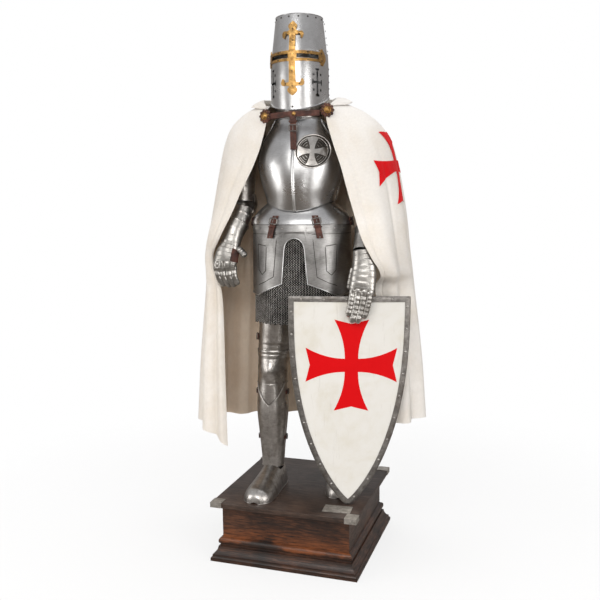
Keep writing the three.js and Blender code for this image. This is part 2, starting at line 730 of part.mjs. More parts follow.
function addArm(name, mirror) {
  const stations = ARMS[name];
  const hand = HANDS[name];
  const upper = sleeve(stations, 0.47, 1, 0);
  add(`upper_arm_${name}`, shell(upper, 12, 5, PLATE, true), DARK_STEEL);
  const elbow = (u, v) => {
    const bulge = ELBOW.bulge * Math.sin(Math.PI * v);
    return limb(stations, lerp(0.36, 0.54, v), rad(75 + 210 * u), ELBOW.lift + bulge);
  };
  add(`couter_${name}`, shell(elbow, 7, 4, PLATE), DARK_STEEL);
  add(`vambrace_${name}`, shell(sleeve(stations, 0.12, 0.4, 0), 12, 3, PLATE, true), DARK_STEEL);
  const cuff = sleeve(stations, 0, 0.22, PLATE + LAP, 5);
  add(`cuff_${name}`, shell(cuff, 12, 2, PLATE, true), DARK_STEEL);
  const palm = (u, v) => limb([...hand].reverse(), lerp(0, 0.93, v), u * 2 * Math.PI, 0);
  add(`hand_${name}`, shell(palm, 12, 2, PLATE, true), DARK_STEEL);
  const set = FINGER_SETS.map(({ shift, radius, reach: long }) =>
    fingerRod(FINGERS[name], mirror * shift, radius, long));
  const knuckles = block(82, 8, 8, 0, 0, 0);
  const start = FINGERS[name][0];
  knuckles.translate(start.x, start.y, start.z - 6);
  add(`fingers_${name}`, joined(knuckles, ...set), DARK_STEEL);
  add(`thumb_${name}`, fingerRod(THUMBS[name], 0, 10, 1), DARK_STEEL);
}

// ---------------------------------------------------------------- legs and feet

function leg(name, z, angle, lift = 0) {
  const axes = LEG_AXES[name];
  const wide = along(LEG, 'side', z) + lift;
  const forward = Math.cos(angle) > 0;
  const bulge = forward ? along(LEG, 'knee', z) * Math.cos(angle) ** 2 : 0;
  const deep = along(LEG, forward ? 'front' : 'back', z) + lift + bulge;
  return vec(
    along(axes, 'x', z) + wide * Math.sin(angle),
    along(axes, 'y', z) - deep * Math.cos(angle),
    z,
  );
}

function footPoint(name, share, u, lift = 0) {
  const ahead = lerp(FOOT[0].ahead, FOOT[FOOT.length - 1].ahead, share);
  const half = along(FOOT, 'half', ahead, 'ahead') + lift;
  const high = along(FOOT, 'high', ahead, 'ahead') + lift;
  const turn = Math.PI * (u - 0.5);
  const x = half * Math.sign(Math.sin(turn)) * Math.abs(Math.sin(turn)) ** 0.85;
  const z = high * Math.abs(Math.cos(turn)) ** 0.8;
  const heading = rad(FOOT_TURN[name]);
  const axis = LEG_AXES[name][0];
  return vec(
    axis.x + x * Math.cos(heading) + ahead * Math.sin(heading),
    axis.y + x * Math.sin(heading) - ahead * Math.cos(heading),
    z,
  );
}

function addLeg(name) {
  const round = (low, high, lift) => (u, v) => leg(name, lerp(low, high, v), u * 2 * Math.PI, lift);
  const openBack = (low, high, lift) => (u, v) =>
    leg(name, lerp(low, high, v), rad(lerp(-140, 140, u)), lift);
  add(`cuisse_${name}`, shell(openBack(THIGH.low, THIGH.high, 0), 14, 3, PLATE), DARK_STEEL);
  const over = PLATE + LAP;
  add(`poleyn_${name}`, shell(openBack(KNEE.low, KNEE.high, over), 14, 4, PLATE), DARK_STEEL);
  add(`greave_${name}`, shell(round(SHIN.low, SHIN.high, 0), 18, 4, PLATE, true), DARK_STEEL);
  const wrap = (u, v) => {
    const angle = rad(lerp(62, 298, u));
    return leg(name, lerp(596, 618, v), angle, LEATHER + LAP);
  };
  add(`thigh_strap_${name}`, shell(wrap, 11, 1, LEATHER), HIDE);
  const shoe = shell((u, v) => footPoint(name, 1 - v, u), 10, 10, PLATE);
  const plug = rod((u, v) => leg(name, lerp(70, 150, v), u * 2 * Math.PI, GAP), 18, 1);
  add(`sabaton_${name}`, cut(shoe, plug), DARK_STEEL);
}

// ---------------------------------------------------------------- mantle

const foldAt = (s) => FOLDS.reduce((sum, { at, half, deep }) => {
  const off = Math.abs(s - at) / half;
  return off < 1 ? sum + deep * (1 + Math.cos(Math.PI * off)) / 2 : sum;
}, 0);

// s runs from -1 at the right-hand front edge, round the back, to 1 at the left-hand one.
function mantlePlan(row, s) {
  const side = s < 0 ? 'right' : 'left';
  const widest = s < 0 ? -row.wide : row.wide + row.more;
  const part = Math.abs(s);
  if (part < BACK_SHARE) {
    const turn = (part / BACK_SHARE) * Math.PI / 2;
    return { x: widest * Math.sin(turn), y: row.mid + row.back * Math.cos(turn), front: 0 };
  }
  const turn = ((part - BACK_SHARE) / (1 - BACK_SHARE)) * Math.PI / 2;
  const edgeX = row[`${side}X`];
  return {
    x: edgeX + (widest - edgeX) * Math.cos(turn),
    y: row.mid + (row[`${side}Y`] - row.mid) * Math.sin(turn),
    front: Math.sin(turn) ** 2,
  };
}

function mantle(s, v, lift = 0) {
  const row = {};
  for (const column of MANTLE_COLUMNS) row[column] = between(MANTLE, column, v);
  const plan = mantlePlan(row, s);
  const ahead = mantlePlan(row, s + 0.002);
  const behind = mantlePlan(row, s - 0.002);
  const across = vec(ahead.x - behind.x, ahead.y - behind.y, 0).normalize();
  const out = vec(-across.y, across.x, 0);
  const grow = clamp((v - 0.3) / 0.6, 0, 1) ** 1.2;
  const push = (foldAt(s) - 14) * grow + lift;
  const level = lerp(row.z, row.edge, plan.front);
  const hem = along(HEM, 'z', clamp(s, -1, 1), 'at') - MANTLE[MANTLE.length - 1].z;
  const drop = hem * clamp((v - 0.6) / 0.4, 0, 1.01) ** 1.5;
  return vec(plan.x, plan.y, level + drop).addScaledVector(out, push);
}

function addMantle() {
  const slack = 0.0012;
  const panels = [
    { name: 'mantle_right', from: -1, to: -MANTLE_SEAM - slack, columns: SIDE_COLUMNS },
    { name: 'mantle_back', from: -MANTLE_SEAM + slack, to: MANTLE_SEAM - slack, columns: 24 },
    { name: 'mantle_left', from: MANTLE_SEAM + slack, to: 1, columns: SIDE_COLUMNS },
  ];
  for (const { name, from, to, columns } of panels) {
    const cloth = (u, v) => mantle(lerp(to, from, u), v);
    add(name, shell(cloth, columns, CLOTH_ROWS, CLOTH), CLOTH_WHITE);
  }
  addMantleCross(MANTLE_SEAM + slack);
}

// The outline of a cross pattee: four arms that widen in a curve to notched ends.
function pattee({ arm, neck, end, notch }) {
  const edge = (share) => neck + (end - neck) * share ** 2;
  const out = (share) => lerp(neck, arm, share);
  const half = [0, 0.35, 0.7, 1].map((share) => ({ across: edge(share), away: out(share) }));
  const points = [];
  for (let quarter = 0; quarter < 4; quarter += 1) {
    const turn = quarter * Math.PI / 2;
    const place = (across, away) => points.push({
      x: across * Math.cos(turn) + away * Math.sin(turn),
      z: away * Math.cos(turn) - across * Math.sin(turn),
    });
    for (const { across, away } of half) place(-across, away);
    place(0, arm - notch);
    for (const { across, away } of half.slice(1).reverse()) place(across, away);
  }
  return points;
}

// The red cross on the left shoulder lies on the panel, cut out of the same facets.
function addMantleCross(seam) {
  const [first, last] = [3, 19];
  const station = (column) => lerp(1, seam, column / SIDE_COLUMNS);
  const facet = (u, v) =>
    mantle(station(lerp(first, last, u)), lerp(2, 6, v) / CLOTH_ROWS, BADGE.lift);
  const outline = pattee(BADGE).map(({ x, z }) => ({ x: x + BADGE.y, z: z + BADGE.z }));
  const sideways = prism(outline, -480, -200).rotateZ(Math.PI / 2);
  add('mantle_cross', common(shell(facet, last - first, 4, 1), sideways), CLOTH_RED);
}

function addHood() {
  const roll = (u, v) => {
    const get = (column) => between(HOOD, column, v);
    const angle = rad(get('angle'));
    const slope = rad(get('slope'));
    const turn = u * 2 * Math.PI;
    const end = Math.sqrt(Math.max(0.05, 1 - (2 * v - 1) ** 8));
    const broad = get('broad') * Math.cos(turn) / 2 * end;
    const thick = get('thick') * Math.sin(turn) / 2 * end;
    const out = get('out') + broad * Math.cos(slope) + thick * Math.sin(slope);
    const z = get('z') - broad * Math.sin(slope) + thick * Math.cos(slope);
    return vec(out * Math.sin(angle), 30 + out * 0.9 * Math.cos(angle), z);
  };
  add('hood', rod(roll, 8, 16), CLOTH_WHITE);
}

function rosette(name, x, y, z, turn) {
  const petals = 10;
  const outline = [];
  for (let k = 0; k < petals * 3; k += 1) {
    const angle = (k / (petals * 3)) * 2 * Math.PI;
    const radius = 25 + 1.8 * Math.cos(petals * angle);
    outline.push(new THREE.Vector2(radius * Math.cos(angle), radius * Math.sin(angle)));
  }
  const disc = new THREE.ExtrudeGeometry(new THREE.Shape(outline), { depth: 4, bevelEnabled: false });
  const dome = new THREE.SphereGeometry(11, 10, 6).scale(1, 1, 0.7).translate(0, 0, 4);
  const whole = joined(disc, dome);
  whole.rotateX(Math.PI / 2).rotateZ(rad(turn)).translate(x, y, z);
  add(name, whole, HIDE);
}

function addClasp() {
  rosette('rosette_right', -112, -106, 1462, -20);
  rosette('rosette_left', 124, -114, 1476, 20);
  const band = (u, v) => {
    const angle = lerp(-0.66, 0.66, u);
    const z = 1459 + 7 * u + 21 * (v - 0.5);
    return vec(4 + 150 * Math.sin(angle), -22 - 126 * Math.cos(angle), z);
  };
  const tail = block(25, LEATHER, 128, 3, -147.2, 1396);
  const stud = new THREE.SphereGeometry(8, 10, 6).scale(1, 0.6, 1).translate(6, -149.5, 1463);
  add('mantle_strap', joined(shell(band, 12, 1, LEATHER), tail, stud), HIDE);
}

// ---------------------------------------------------------------- shield

// The board's outline is a heater: straight-sided at the top, drawn in to a point below.
function heater(u, v, { grow = 0, lift = 0 } = {}) {
  const up = lerp(3 - grow * 1.2, SHIELD.high + grow, v);
  const fall = clamp(1 - (up + grow) / (SHIELD.high + grow), 0, 0.997);
  const half = SHIELD.half * (1 - fall ** 2.6) ** 0.8 + grow;
  const across = (2 * u - 1) * half;
  const bend = across / SHIELD.half;
  return vec(across, SHIELD.bulge * bend * bend - lift, up);
}

function addShield() {
  const frame = new THREE.Group();
  frame.position.set(SHIELD_TIP.x, SHIELD_TIP.y, LID_TOP + GAP);
  frame.rotation.set(-rad(SHIELD_LEAN), rad(SHIELD_ROLL), rad(SHIELD_TURN), 'ZXY');
  suit.add(frame);
  const layer = (options, wall) => shell((u, v) => heater(u, v, options), 6, 11, wall);
  const { wall, cover, rim } = SHIELD;
  const board = layer({ grow: 0 }, wall);
  const casing = layer({ grow: cover, lift: cover }, wall + 2 * cover);
  const space = layer({ grow: GAP, lift: GAP }, wall + 2 * GAP);
  const window = layer({ grow: -rim, lift: 20 }, wall + 40);
  add('shield_board', board, PAINT, frame);
  add('shield_rim', cut(casing, space, window), IRON, frame);
}

// ---------------------------------------------------------------- assembly

addPlinth();
addHelm();
addTorso();
addHipStraps();
addArm('right', 1);
addArm('left', -1);
addLeg('right');
addLeg('left');
addMantle();
addHood();
addClasp();
addShield();

export default suit;
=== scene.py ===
# %% [markdown]
# # A suit of plate armour on its plinth
# A full-size display suit: great helm, breastplate, skirt of plates, mail, arm and leg harness, a
# hooded mantle with a red cross, and a heater shield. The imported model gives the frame: every
# piece below is made in metres in that frame, so it lands where the construction says.

# %% The frame
import math

import bpy
import numpy as np
from mathutils import Matrix, Vector
from mathutils.geometry import delaunay_2d_cdt


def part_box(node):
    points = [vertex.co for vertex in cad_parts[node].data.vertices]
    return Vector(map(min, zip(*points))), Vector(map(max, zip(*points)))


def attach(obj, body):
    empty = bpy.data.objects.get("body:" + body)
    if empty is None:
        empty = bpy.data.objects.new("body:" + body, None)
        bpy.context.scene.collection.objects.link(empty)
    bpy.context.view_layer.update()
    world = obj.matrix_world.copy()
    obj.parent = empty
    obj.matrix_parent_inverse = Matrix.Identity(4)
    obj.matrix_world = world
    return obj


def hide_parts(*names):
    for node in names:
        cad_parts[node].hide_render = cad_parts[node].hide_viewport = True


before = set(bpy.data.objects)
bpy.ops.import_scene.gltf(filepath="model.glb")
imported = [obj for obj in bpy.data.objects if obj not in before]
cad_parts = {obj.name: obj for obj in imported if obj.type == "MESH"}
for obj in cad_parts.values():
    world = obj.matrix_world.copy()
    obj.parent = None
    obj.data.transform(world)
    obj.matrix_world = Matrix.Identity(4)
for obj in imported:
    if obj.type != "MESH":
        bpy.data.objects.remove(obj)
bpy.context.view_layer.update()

# %% [markdown]
# ## Surfaces from numbers
# A plate is a table of sections: how wide and how deep it is at a few heights. A smooth curve runs
# through the rows of the table, and a grid of points on the surface becomes a mesh. Working it out
# as whole arrays keeps every plate in step with the construction, which uses the same tables.

# %% Tables and curves through them
def table(columns, *rows):
    """Columns of numbers by name, from rows of them."""
    values = np.array(rows, float)
    return dict(zip(columns.split(), values.T))


def along(rows, column, at, station="z"):
    """The column's value at a station: each span is a cubic whose end slopes are the slopes of the
    chords to the rows on either side."""
    x, y = rows[station], rows[column]
    at = np.asarray(at, float)
    last = len(x) - 1
    low = np.clip(np.searchsorted(x, at) - 1, 0, last - 1)
    high = low + 1
    before, after = np.maximum(low - 1, 0), np.minimum(high + 1, last)
    span = x[high] - x[low]
    leaving = (y[high] - y[before]) / (x[high] - x[before]) * span
    arriving = (y[after] - y[low]) / (x[after] - x[low]) * span
    t = (at - x[low]) / span
    rise = t * t * (3 - 2 * t)
    bend = leaving * t * (1 - t) ** 2 - arriving * t * t * (1 - t)
    return y[low] + (y[high] - y[low]) * rise + bend


def between(rows, column, share):
    """The same for rows that are evenly spaced from 0 to 1."""
    values = rows[column]
    numbered = {"value": values, "index": np.arange(len(values), dtype=float)}
    return along(numbered, "value", np.asarray(share) * (len(values) - 1), "index")


def mix(a, b, t):
    return a + (b - a) * t


def grid(columns, rows):
    """Parameters u across and v up, both from 0 to 1, as arrays of (rows + 1, columns + 1)."""
    return np.meshgrid(np.linspace(0, 1, columns + 1), np.linspace(0, 1, rows + 1))


def unit(vectors):
    return vectors / np.maximum(np.linalg.norm(vectors, axis=-1, keepdims=True), 1e-12)


def around(count):
    """Angles once round a circle, in equal steps."""
    return np.linspace(0, 2 * np.pi, count + 1)[:-1]


def outwards(points):
    """The level directions away from the suit's axis."""
    return unit(points * (1, 1, 0))


def running(path):
    """The length along a path from its start to each of its points."""
    return np.concatenate([[0], np.cumsum(np.linalg.norm(np.diff(path, axis=0), axis=1))])


FRONT, UP = (0, -1, 0), (0, 0, 1)
SUIT_TURN = math.radians(6.5)
LID_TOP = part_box("plinth_lid")[1][2] + 0.0003   # the suit stands a hair above the lid


def stand(points):
    """Turns points of the suit by SUIT_TURN about the vertical and sets them on the plinth."""
    x, y, z = points[..., 0], points[..., 1], points[..., 2]
    c, s = math.cos(SUIT_TURN), math.sin(SUIT_TURN)
    return np.stack([x * c - y * s, x * s + y * c, z + LID_TOP], -1)


# %% Meshes
def faces_of(rows, columns, ring=False):
    """Quads of a grid of points, turned so that u to the right and v up face the viewer."""
    j, i = np.mgrid[0:rows, 0:columns]
    count = columns if ring else columns + 1
    at = lambda i, j: j * count + i % count
    return np.stack([at(i, j), at(i + 1, j), at(i + 1, j + 1), at(i, j + 1)], -1).reshape(-1, 4)


def make(name, parts, material, nodes=(), wall=0.0, sharp=40, uv=None, place=stand, bevel=0.0, lining=None):
    """One object from parts, each an array of points and an array of faces. The wall goes inwards
    from the faces, and edges that turn by more than the sharp angle stay crisp. A second material
    may cover the wall's inner side, and the material its outer side and its edges."""
    points = [np.asarray(p, float).reshape(-1, 3) for p, _ in parts]
    starts = np.cumsum([0] + [len(p) for p in points])
    points = np.concatenate(points)
    faces = [np.asarray(f) + start for (_, f), start in zip(parts, starts)]
    corners = np.concatenate([f.ravel() for f in faces])
    sizes = np.concatenate([np.full(len(f), f.shape[1]) for f in faces])
    used, corners = np.unique(corners, return_inverse=True)
    mesh = bpy.data.meshes.new(name)
    mesh.vertices.add(len(used))
    mesh.vertices.foreach_set("co", place(points[used]).ravel())
    mesh.loops.add(len(corners))
    mesh.loops.foreach_set("vertex_index", corners.ravel().astype(np.int32))
    mesh.polygons.add(len(sizes))
    mesh.polygons.foreach_set("loop_start", np.concatenate([[0], np.cumsum(sizes)[:-1]]).astype(np.int32))
    mesh.polygons.foreach_set("use_smooth", np.ones(len(sizes), bool))
    if uv is not None:
        mesh.uv_layers.new(name="flat").data.foreach_set("uv", np.asarray(uv, float).ravel())
    mesh.update(calc_edges=True)
    mesh.validate()
    for finish in filter(None, (lining, material)):
        mesh.materials.append(finish)
    piece = bpy.data.objects.new(name, mesh)
    bpy.context.scene.collection.objects.link(piece)
    if wall:
        thick = piece.modifiers.new("wall", "SOLIDIFY")
        thick.thickness = wall
        thick.offset = -1
        thick.material_offset = thick.material_offset_rim = int(lining is not None)
    if bevel:
        soft = piece.modifiers.new("edges", "BEVEL")
        soft.width = bevel
        soft.segments = 2
        soft.limit_method = "ANGLE"
    if wall or bevel:
        evaluated = piece.evaluated_get(bpy.context.evaluated_depsgraph_get())
        piece.data = bpy.data.meshes.new_from_object(evaluated)
        piece.data.name = name
        piece.modifiers.clear()
    piece.data.set_sharp_from_angle(angle=math.radians(sharp))
    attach(piece, "root")
    if nodes:
        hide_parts(*nodes)
    return piece


def plate(name, points, material, nodes=(), wall=0.0016, ring=False, keep=None, uv=None, **more):
    """A sheet-metal plate on a grid of points, less the faces that keep leaves out."""
    rows, columns = points.shape[0] - 1, points.shape[1] - 1
    quads = faces_of(rows, columns, ring)
    flat = faces_of(rows, columns)
    if keep is not None:
        quads, flat = quads[keep.ravel()], flat[keep.ravel()]
    loops = None if uv is None else uv.reshape(-1, 2)[flat].reshape(-1, 2)
    body = points[:, :-1] if ring else points
    return make(name, [(body, quads)], material, nodes, wall, uv=loops, **more)


def tube(path, radius, sides=8, closed=False, up=(0, 0, 1), squash=1.0):
    """A round bead carried along a path: at each point a circle across the path's direction. It may
    be flattened by squash, and its ends close in a point."""
    path = np.asarray(path, float)
    ahead = unit(np.roll(path, -1, 0) - np.roll(path, 1, 0) if closed else np.gradient(path, axis=0))
    side = unit(np.cross(ahead, np.broadcast_to(np.asarray(up, float), path.shape)))
    lift = np.cross(side, ahead)
    turn = around(sides)
    radius = np.broadcast_to(np.asarray(radius, float), len(path))[:, None, None]
    ring = path[:, None] + radius * (np.cos(turn)[None, :, None] * side[:, None]
                                     + squash * np.sin(turn)[None, :, None] * lift[:, None])
    count = len(path)
    if closed:
        return ring, faces_of(count, sides, ring=True)[:, ::-1] % (count * sides)
    ring[0], ring[-1] = path[0], path[-1]
    return ring, faces_of(count - 1, sides, ring=True)[:, ::-1]


def domes(centres, normals, radius, high=0.5, sides=8):
    """Rivet heads: rings of a dome round each centre, in the plane across its normal."""
    centres, normals = np.atleast_2d(centres), unit(np.atleast_2d(np.asarray(normals, float)))
    other = np.where(np.abs(normals[:, 2:]) > 0.9, [[1.0, 0, 0]], [[0, 0, 1.0]])
    side = unit(np.cross(other, normals))
    lift = np.cross(normals, side)
    turn = around(sides)
    tilt = np.array([0.0, 0.45, 0.8, 1.0]) * np.pi / 2
    out = radius * np.cos(tilt)
    up = radius * high * np.sin(tilt)
    out[-1] = radius * 0.02
    points = (centres[:, None, None]
              + out[None, :, None, None] * (np.cos(turn)[None, None, :, None] * side[:, None, None]
                                            + np.sin(turn)[None, None, :, None] * lift[:, None, None])
              + up[None, :, None, None] * normals[:, None, None])
    one = faces_of(3, sides, ring=True)
    faces = (one[None] + 4 * sides * np.arange(len(centres))[:, None, None]).reshape(-1, 4)
    lid = np.arange(sides)[None] + 3 * sides + 4 * sides * np.arange(len(centres))[:, None]
    foot = np.arange(sides)[::-1][None] + 4 * sides * np.arange(len(centres))[:, None]
    flat = points.reshape(-1, 3)
    return [(flat, faces), (flat, lid), (flat, foot)]


def cut_out(outline, step):
    """Triangles that fill a flat outline, with inner points every step, so that it can be bent."""
    outline = np.asarray(outline, float)
    low, high = outline.min(0), outline.max(0)
    inner = np.stack(np.meshgrid(np.arange(low[0] + step / 2, high[0], step),
                                 np.arange(low[1] + step / 2, high[1], step)), -1).reshape(-1, 2)
    count = len(outline)
    edges = [(k, (k + 1) % count) for k in range(count)]
    spots = [Vector(p) for p in np.vstack([outline, inner])]
    points, _, faces, *_ = delaunay_2d_cdt(spots, edges, [], 1, 1e-7)
    return np.array([tuple(p) for p in points]), np.array([f for f in faces if len(f) == 3])


def dense(outline, step):
    """The same outline with extra points, so that no side is longer than the step."""
    pieces = []
    for a, b in zip(outline, np.roll(outline, -1, 0)):
        count = max(1, int(np.ceil(np.linalg.norm(b - a) / step)))
        pieces.append(mix(a, b, (np.arange(count) / count)[:, None]))
    return np.concatenate(pieces)


def arc(x, y, radius, start, end, count=10):
    """Points of an arc, from one angle in degrees to the other."""
    turn = np.radians(np.linspace(start, end, count))
    return np.stack([x + radius * np.cos(turn), y + radius * np.sin(turn)], -1)


print("helpers ready")

# %% [markdown]
# ## Node helpers
# A value given to a node is a plain number, a colour, a vector, or another node's output, which is
# linked, and a node goes into the tree that its linked values come from. A material is begun with
# its constants and closed with its colour, relief and roughness.


def feed(socket, value):
    if isinstance(value, bpy.types.NodeSocket):
        socket.id_data.links.new(value, socket)
    else:
        socket.default_value = (*value, 1) if socket.type == "RGBA" else value


def node(kind, values, tree=None, **settings):
    linked = [value for value in values.values() if isinstance(value, bpy.types.NodeSocket)]
    made = (tree or linked[0].id_data).nodes.new(kind)
    for key, value in settings.items():
        setattr(made, key, value)
    for key, value in values.items():
        feed(made.inputs[key], value)
    return made


def calc(operation, a, b=0.0, clamp=False):
    return node("ShaderNodeMath", {0: a, 1: b}, operation=operation, use_clamp=clamp).outputs[0]


def plus(a, b):
    return calc("ADD", a, b)


def times(a, b):
    return calc("MULTIPLY", a, b)


def vector(operation, a, b=(0, 0, 0)):
    return node("ShaderNodeVectorMath", {0: a, 1: b}, operation=operation).outputs


def axes_of(source):
    return node("ShaderNodeSeparateXYZ", {0: source}).outputs


def noise(place, **values):
    return node("ShaderNodeTexNoise", {"Vector": place, **values}).outputs[0]


def ramp(source, *stops):
    """A colour ramp; each stop is a place and a colour or a grey."""
    made = node("ShaderNodeValToRGB", {0: source})
    band = made.color_ramp
    while len(band.elements) < len(stops):
        band.elements.new(0.5)
    for element, (place, colour) in zip(band.elements, stops):
        element.position = place
        element.color = (*(colour if isinstance(colour, tuple) else (colour,) * 3), 1)
    return made.outputs["Color"]


def blend(factor, a, b, mode="MIX"):
    return node("ShaderNodeMix", {0: factor, 6: a, 7: b}, data_type="RGBA", blend_type=mode).outputs[2]


def open_group(name, inputs):
    """A shader node group and its inputs: floats where a number is given, and vectors otherwise."""
    tree = bpy.data.node_groups.new(name, "ShaderNodeTree")
    for label, value in inputs.items():
        kind = "NodeSocketFloat" if isinstance(value, float) else "NodeSocketVector"
        tree.interface.new_socket(label, in_out="INPUT", socket_type=kind).default_value = value
    start = tree.nodes.new("NodeGroupInput")
    return tree, [start.outputs[label] for label in inputs]


def close_group(tree, **outputs):
    for label in outputs:
        tree.interface.new_socket(label, in_out="OUTPUT", socket_type="NodeSocketFloat")
    node("NodeGroupOutput", outputs)
    return tree


def use(shared, **values):
    return node("ShaderNodeGroup", values, node_tree=shared).outputs


def begin(name, slot, **constants):
    """A material with its constants, Object coordinates and UV. The slot it stands for is not used."""
    made = bpy.data.materials.new(name)
    made.use_nodes = True
    tree = made.node_tree
    for key, value in constants.items():
        feed(tree.nodes["Principled BSDF"].inputs[key.replace("_", " ")], value)
    place = tree.nodes.new("ShaderNodeTexCoord").outputs
    return made, place["Object"], place["UV"]


def close(made, colour, height, relief, rough=None):
    """Gives a material's shader its colour, its relief in metres and, where it varies, its roughness."""
    shader = made.node_tree.nodes["Principled BSDF"]
    feed(shader.inputs["Base Color"], colour)
    feed(shader.inputs["Normal"], node("ShaderNodeBump", {"Height": height, "Distance": relief}).outputs[0])
    if rough is not None:
        feed(shader.inputs["Roughness"], rough)
    return made


print("node helpers ready")

# %% [markdown]
# ## Camera, floor and light
# Polished steel shows its surroundings, so the light matters as much as the metal. Large soft
# panels at both sides draw long pale streaks down the plates, and the grey world between them
# gives the dark streaks that make the plates look round. The floor fades out into the white world,
# so no horizon cuts through the picture.

# %% Camera
CAMERA_PLACE = Vector((0.95545, -2.87770, 1.39095))
CAMERA_TURN = math.radians(18.569)      # to the left, about the vertical
CAMERA_DOWN = math.radians(7.466)
CAMERA_ROLL = math.radians(-0.714)
LENS = 46.37                            # millimetres, on a sensor 36 mm wide


def add_camera():
    ahead = Vector((-math.sin(CAMERA_TURN) * math.cos(CAMERA_DOWN),
                    math.cos(CAMERA_TURN) * math.cos(CAMERA_DOWN),
                    -math.sin(CAMERA_DOWN)))
    level = Vector((math.cos(CAMERA_TURN), math.sin(CAMERA_TURN), 0))
    up = level.cross(ahead)
    right = level * math.cos(CAMERA_ROLL) + up * math.sin(CAMERA_ROLL)
    top = -level * math.sin(CAMERA_ROLL) + up * math.cos(CAMERA_ROLL)
    camera = bpy.data.objects.new("camera", bpy.data.cameras.new("camera"))
    camera.data.lens = LENS
    camera.data.sensor_width = 36
    axes = Matrix((right, top, -ahead)).transposed()
    camera.matrix_world = Matrix.Translation(CAMERA_PLACE) @ axes.to_4x4()
    bpy.context.scene.collection.objects.link(camera)
    bpy.context.scene.camera = camera


add_camera()
bpy.context.scene.view_settings.view_transform = "Standard"
print("camera at", tuple(CAMERA_PLACE))

# %% Floor and lights
WARM, WARMER, WHITE = (1, .985, .96), (1, .88, .74), (1, 1, 1)
PANELS = (
    ("left_panel", (-2.7, -2.0, 1.35), 1.2, (1.4, 1.8), 25, WARM, True),
    ("right_panel", (3.0, -1.6, 1.35), 1.2, (1.3, 1.8), 34, WARM, True),
    ("strip_panel", (1.9, -3.3, 1.5), 1.3, (0.25, 2.4), 12, WARM, True),
    ("front_panel", (0.4, -4.2, 3.2), 1.0, (3.0, 1.6), 90, WARM, True),
    ("low_panel", (-0.6, -3.4, 0.25), 0.9, (1.8, 0.8), 20, WARMER, False),
    ("top_panel", (0, 0.6, 3.6), 1.2, (2.4, 1.6), 26, WHITE, True),
)
FLOOR_RINGS = (0.01, 0.5, 1.0, 1.6, 2.4)
FLOOR_SIDES = 64


def add_panel(name, place, aim, size, watts, colour, mirrored):
    """A soft panel that looks at the suit's axis at the height aim."""
    light = bpy.data.lights.new(name, "AREA")
    light.shape = "RECTANGLE"
    light.size, light.size_y = size
    light.energy = watts
    light.color = colour
    panel = bpy.data.objects.new(name, light)
    turn = (Vector((0, 0, aim)) - Vector(place)).to_track_quat("-Z", "Y")
    panel.matrix_world = Matrix.Translation(place) @ turn.to_matrix().to_4x4()
    panel.visible_glossy = mirrored
    bpy.context.scene.collection.objects.link(panel)


def add_world():
    """White to the camera, and to everything else a grey room that is dark and warm low down."""
    world = bpy.data.worlds.new("studio")
    world.use_nodes = True
    tree = world.node_tree
    tree.nodes.clear()
    up = axes_of(tree.nodes.new("ShaderNodeTexCoord").outputs["Generated"])[2]
    level = node("ShaderNodeMapRange", {"Value": up, "From Min": -0.3, "From Max": 1.0})
    shade = ramp(level.outputs[0], (0.0, (0.15, 0.122, 0.098)), (0.9, (0.60, 0.60, 0.61)))
    room = node("ShaderNodeBackground", {"Color": shade}).outputs[0]
    seen = node("ShaderNodeBackground", {"Color": WHITE}, tree).outputs[0]
    eye = tree.nodes.new("ShaderNodeLightPath").outputs["Is Camera Ray"]
    both = node("ShaderNodeMixShader", {0: eye, 1: room, 2: seen}).outputs[0]
    node("ShaderNodeOutputWorld", {"Surface": both})
    bpy.context.scene.world = world


def add_floor():
    """A thin grey disc for the shadow: a quarter solid out to 0.6 m, and gone at 2.2 m."""
    turn = around(FLOOR_SIDES)
    points = np.stack([np.outer(FLOOR_RINGS, np.cos(turn)), np.outer(FLOOR_RINGS, np.sin(turn)),
                       np.full((len(FLOOR_RINGS), FLOOR_SIDES), -0.0005)], -1)
    quads = faces_of(len(FLOOR_RINGS) - 1, FLOOR_SIDES, ring=True)[:, ::-1].tolist()
    mesh = bpy.data.meshes.new("floor")
    mesh.from_pydata(points.reshape(-1, 3).tolist(), [], [*quads, list(range(FLOOR_SIDES))])
    grey = bpy.data.materials.new("floor")
    grey.use_nodes = True
    nodes = grey.node_tree.nodes
    away = vector("LENGTH", nodes.new("ShaderNodeTexCoord").outputs["Object"])["Value"]
    span = {"Value": away, "From Min": 0.6, "From Max": 2.2, "To Min": 0.25, "To Max": 0.0}
    fade = node("ShaderNodeMapRange", span, interpolation_type="SMOOTHSTEP").outputs[0]
    for key, value in (("Base Color", (0.93, 0.93, 0.93)), ("Roughness", 0.9), ("Alpha", fade)):
        feed(nodes["Principled BSDF"].inputs[key], value)
    mesh.materials.append(grey)
    floor = bpy.data.objects.new("floor", mesh)
    bpy.context.scene.collection.objects.link(floor)


add_floor()
add_world()
for panel_row in PANELS:
    add_panel(*panel_row)
print("light:", len(PANELS), "panels and a grey world")

# %% [markdown]
# ## Finishes
# Each material is worked out from patterns, not pictures. What several finishes share is a node
# group: uneven polish and fine brushing on the metals, a weave on the cloths, and stains on metal,
# paint and cloth. The shader stays in each material with its own plain values.

# %% Shared effects
def polish_group():
    """Uneven polish: wide soft clouds, streaks drawn out along Stretch, and scattered pits."""
    tree, (place, scale, stretch, pits) = open_group(
        "uneven_polish", {"Vector": (0, 0, 0), "Scale": 9.0, "Stretch": (1, 1, 12), "Pits": 0.3})
    cloud = noise(place, Scale=scale, Detail=5, Roughness=0.6, Distortion=0.4)
    drawn = vector("MULTIPLY", place, stretch)[0]
    streak = noise(drawn, Scale=60, Detail=3, Roughness=0.7)
    pit = noise(place, Scale=420, Detail=2)
    high = plus(times(streak, 0.35), times(pit, pits))
    return close_group(tree, Cloud=cloud, Streak=streak, Height=plus(high, times(cloud, 1.6)))


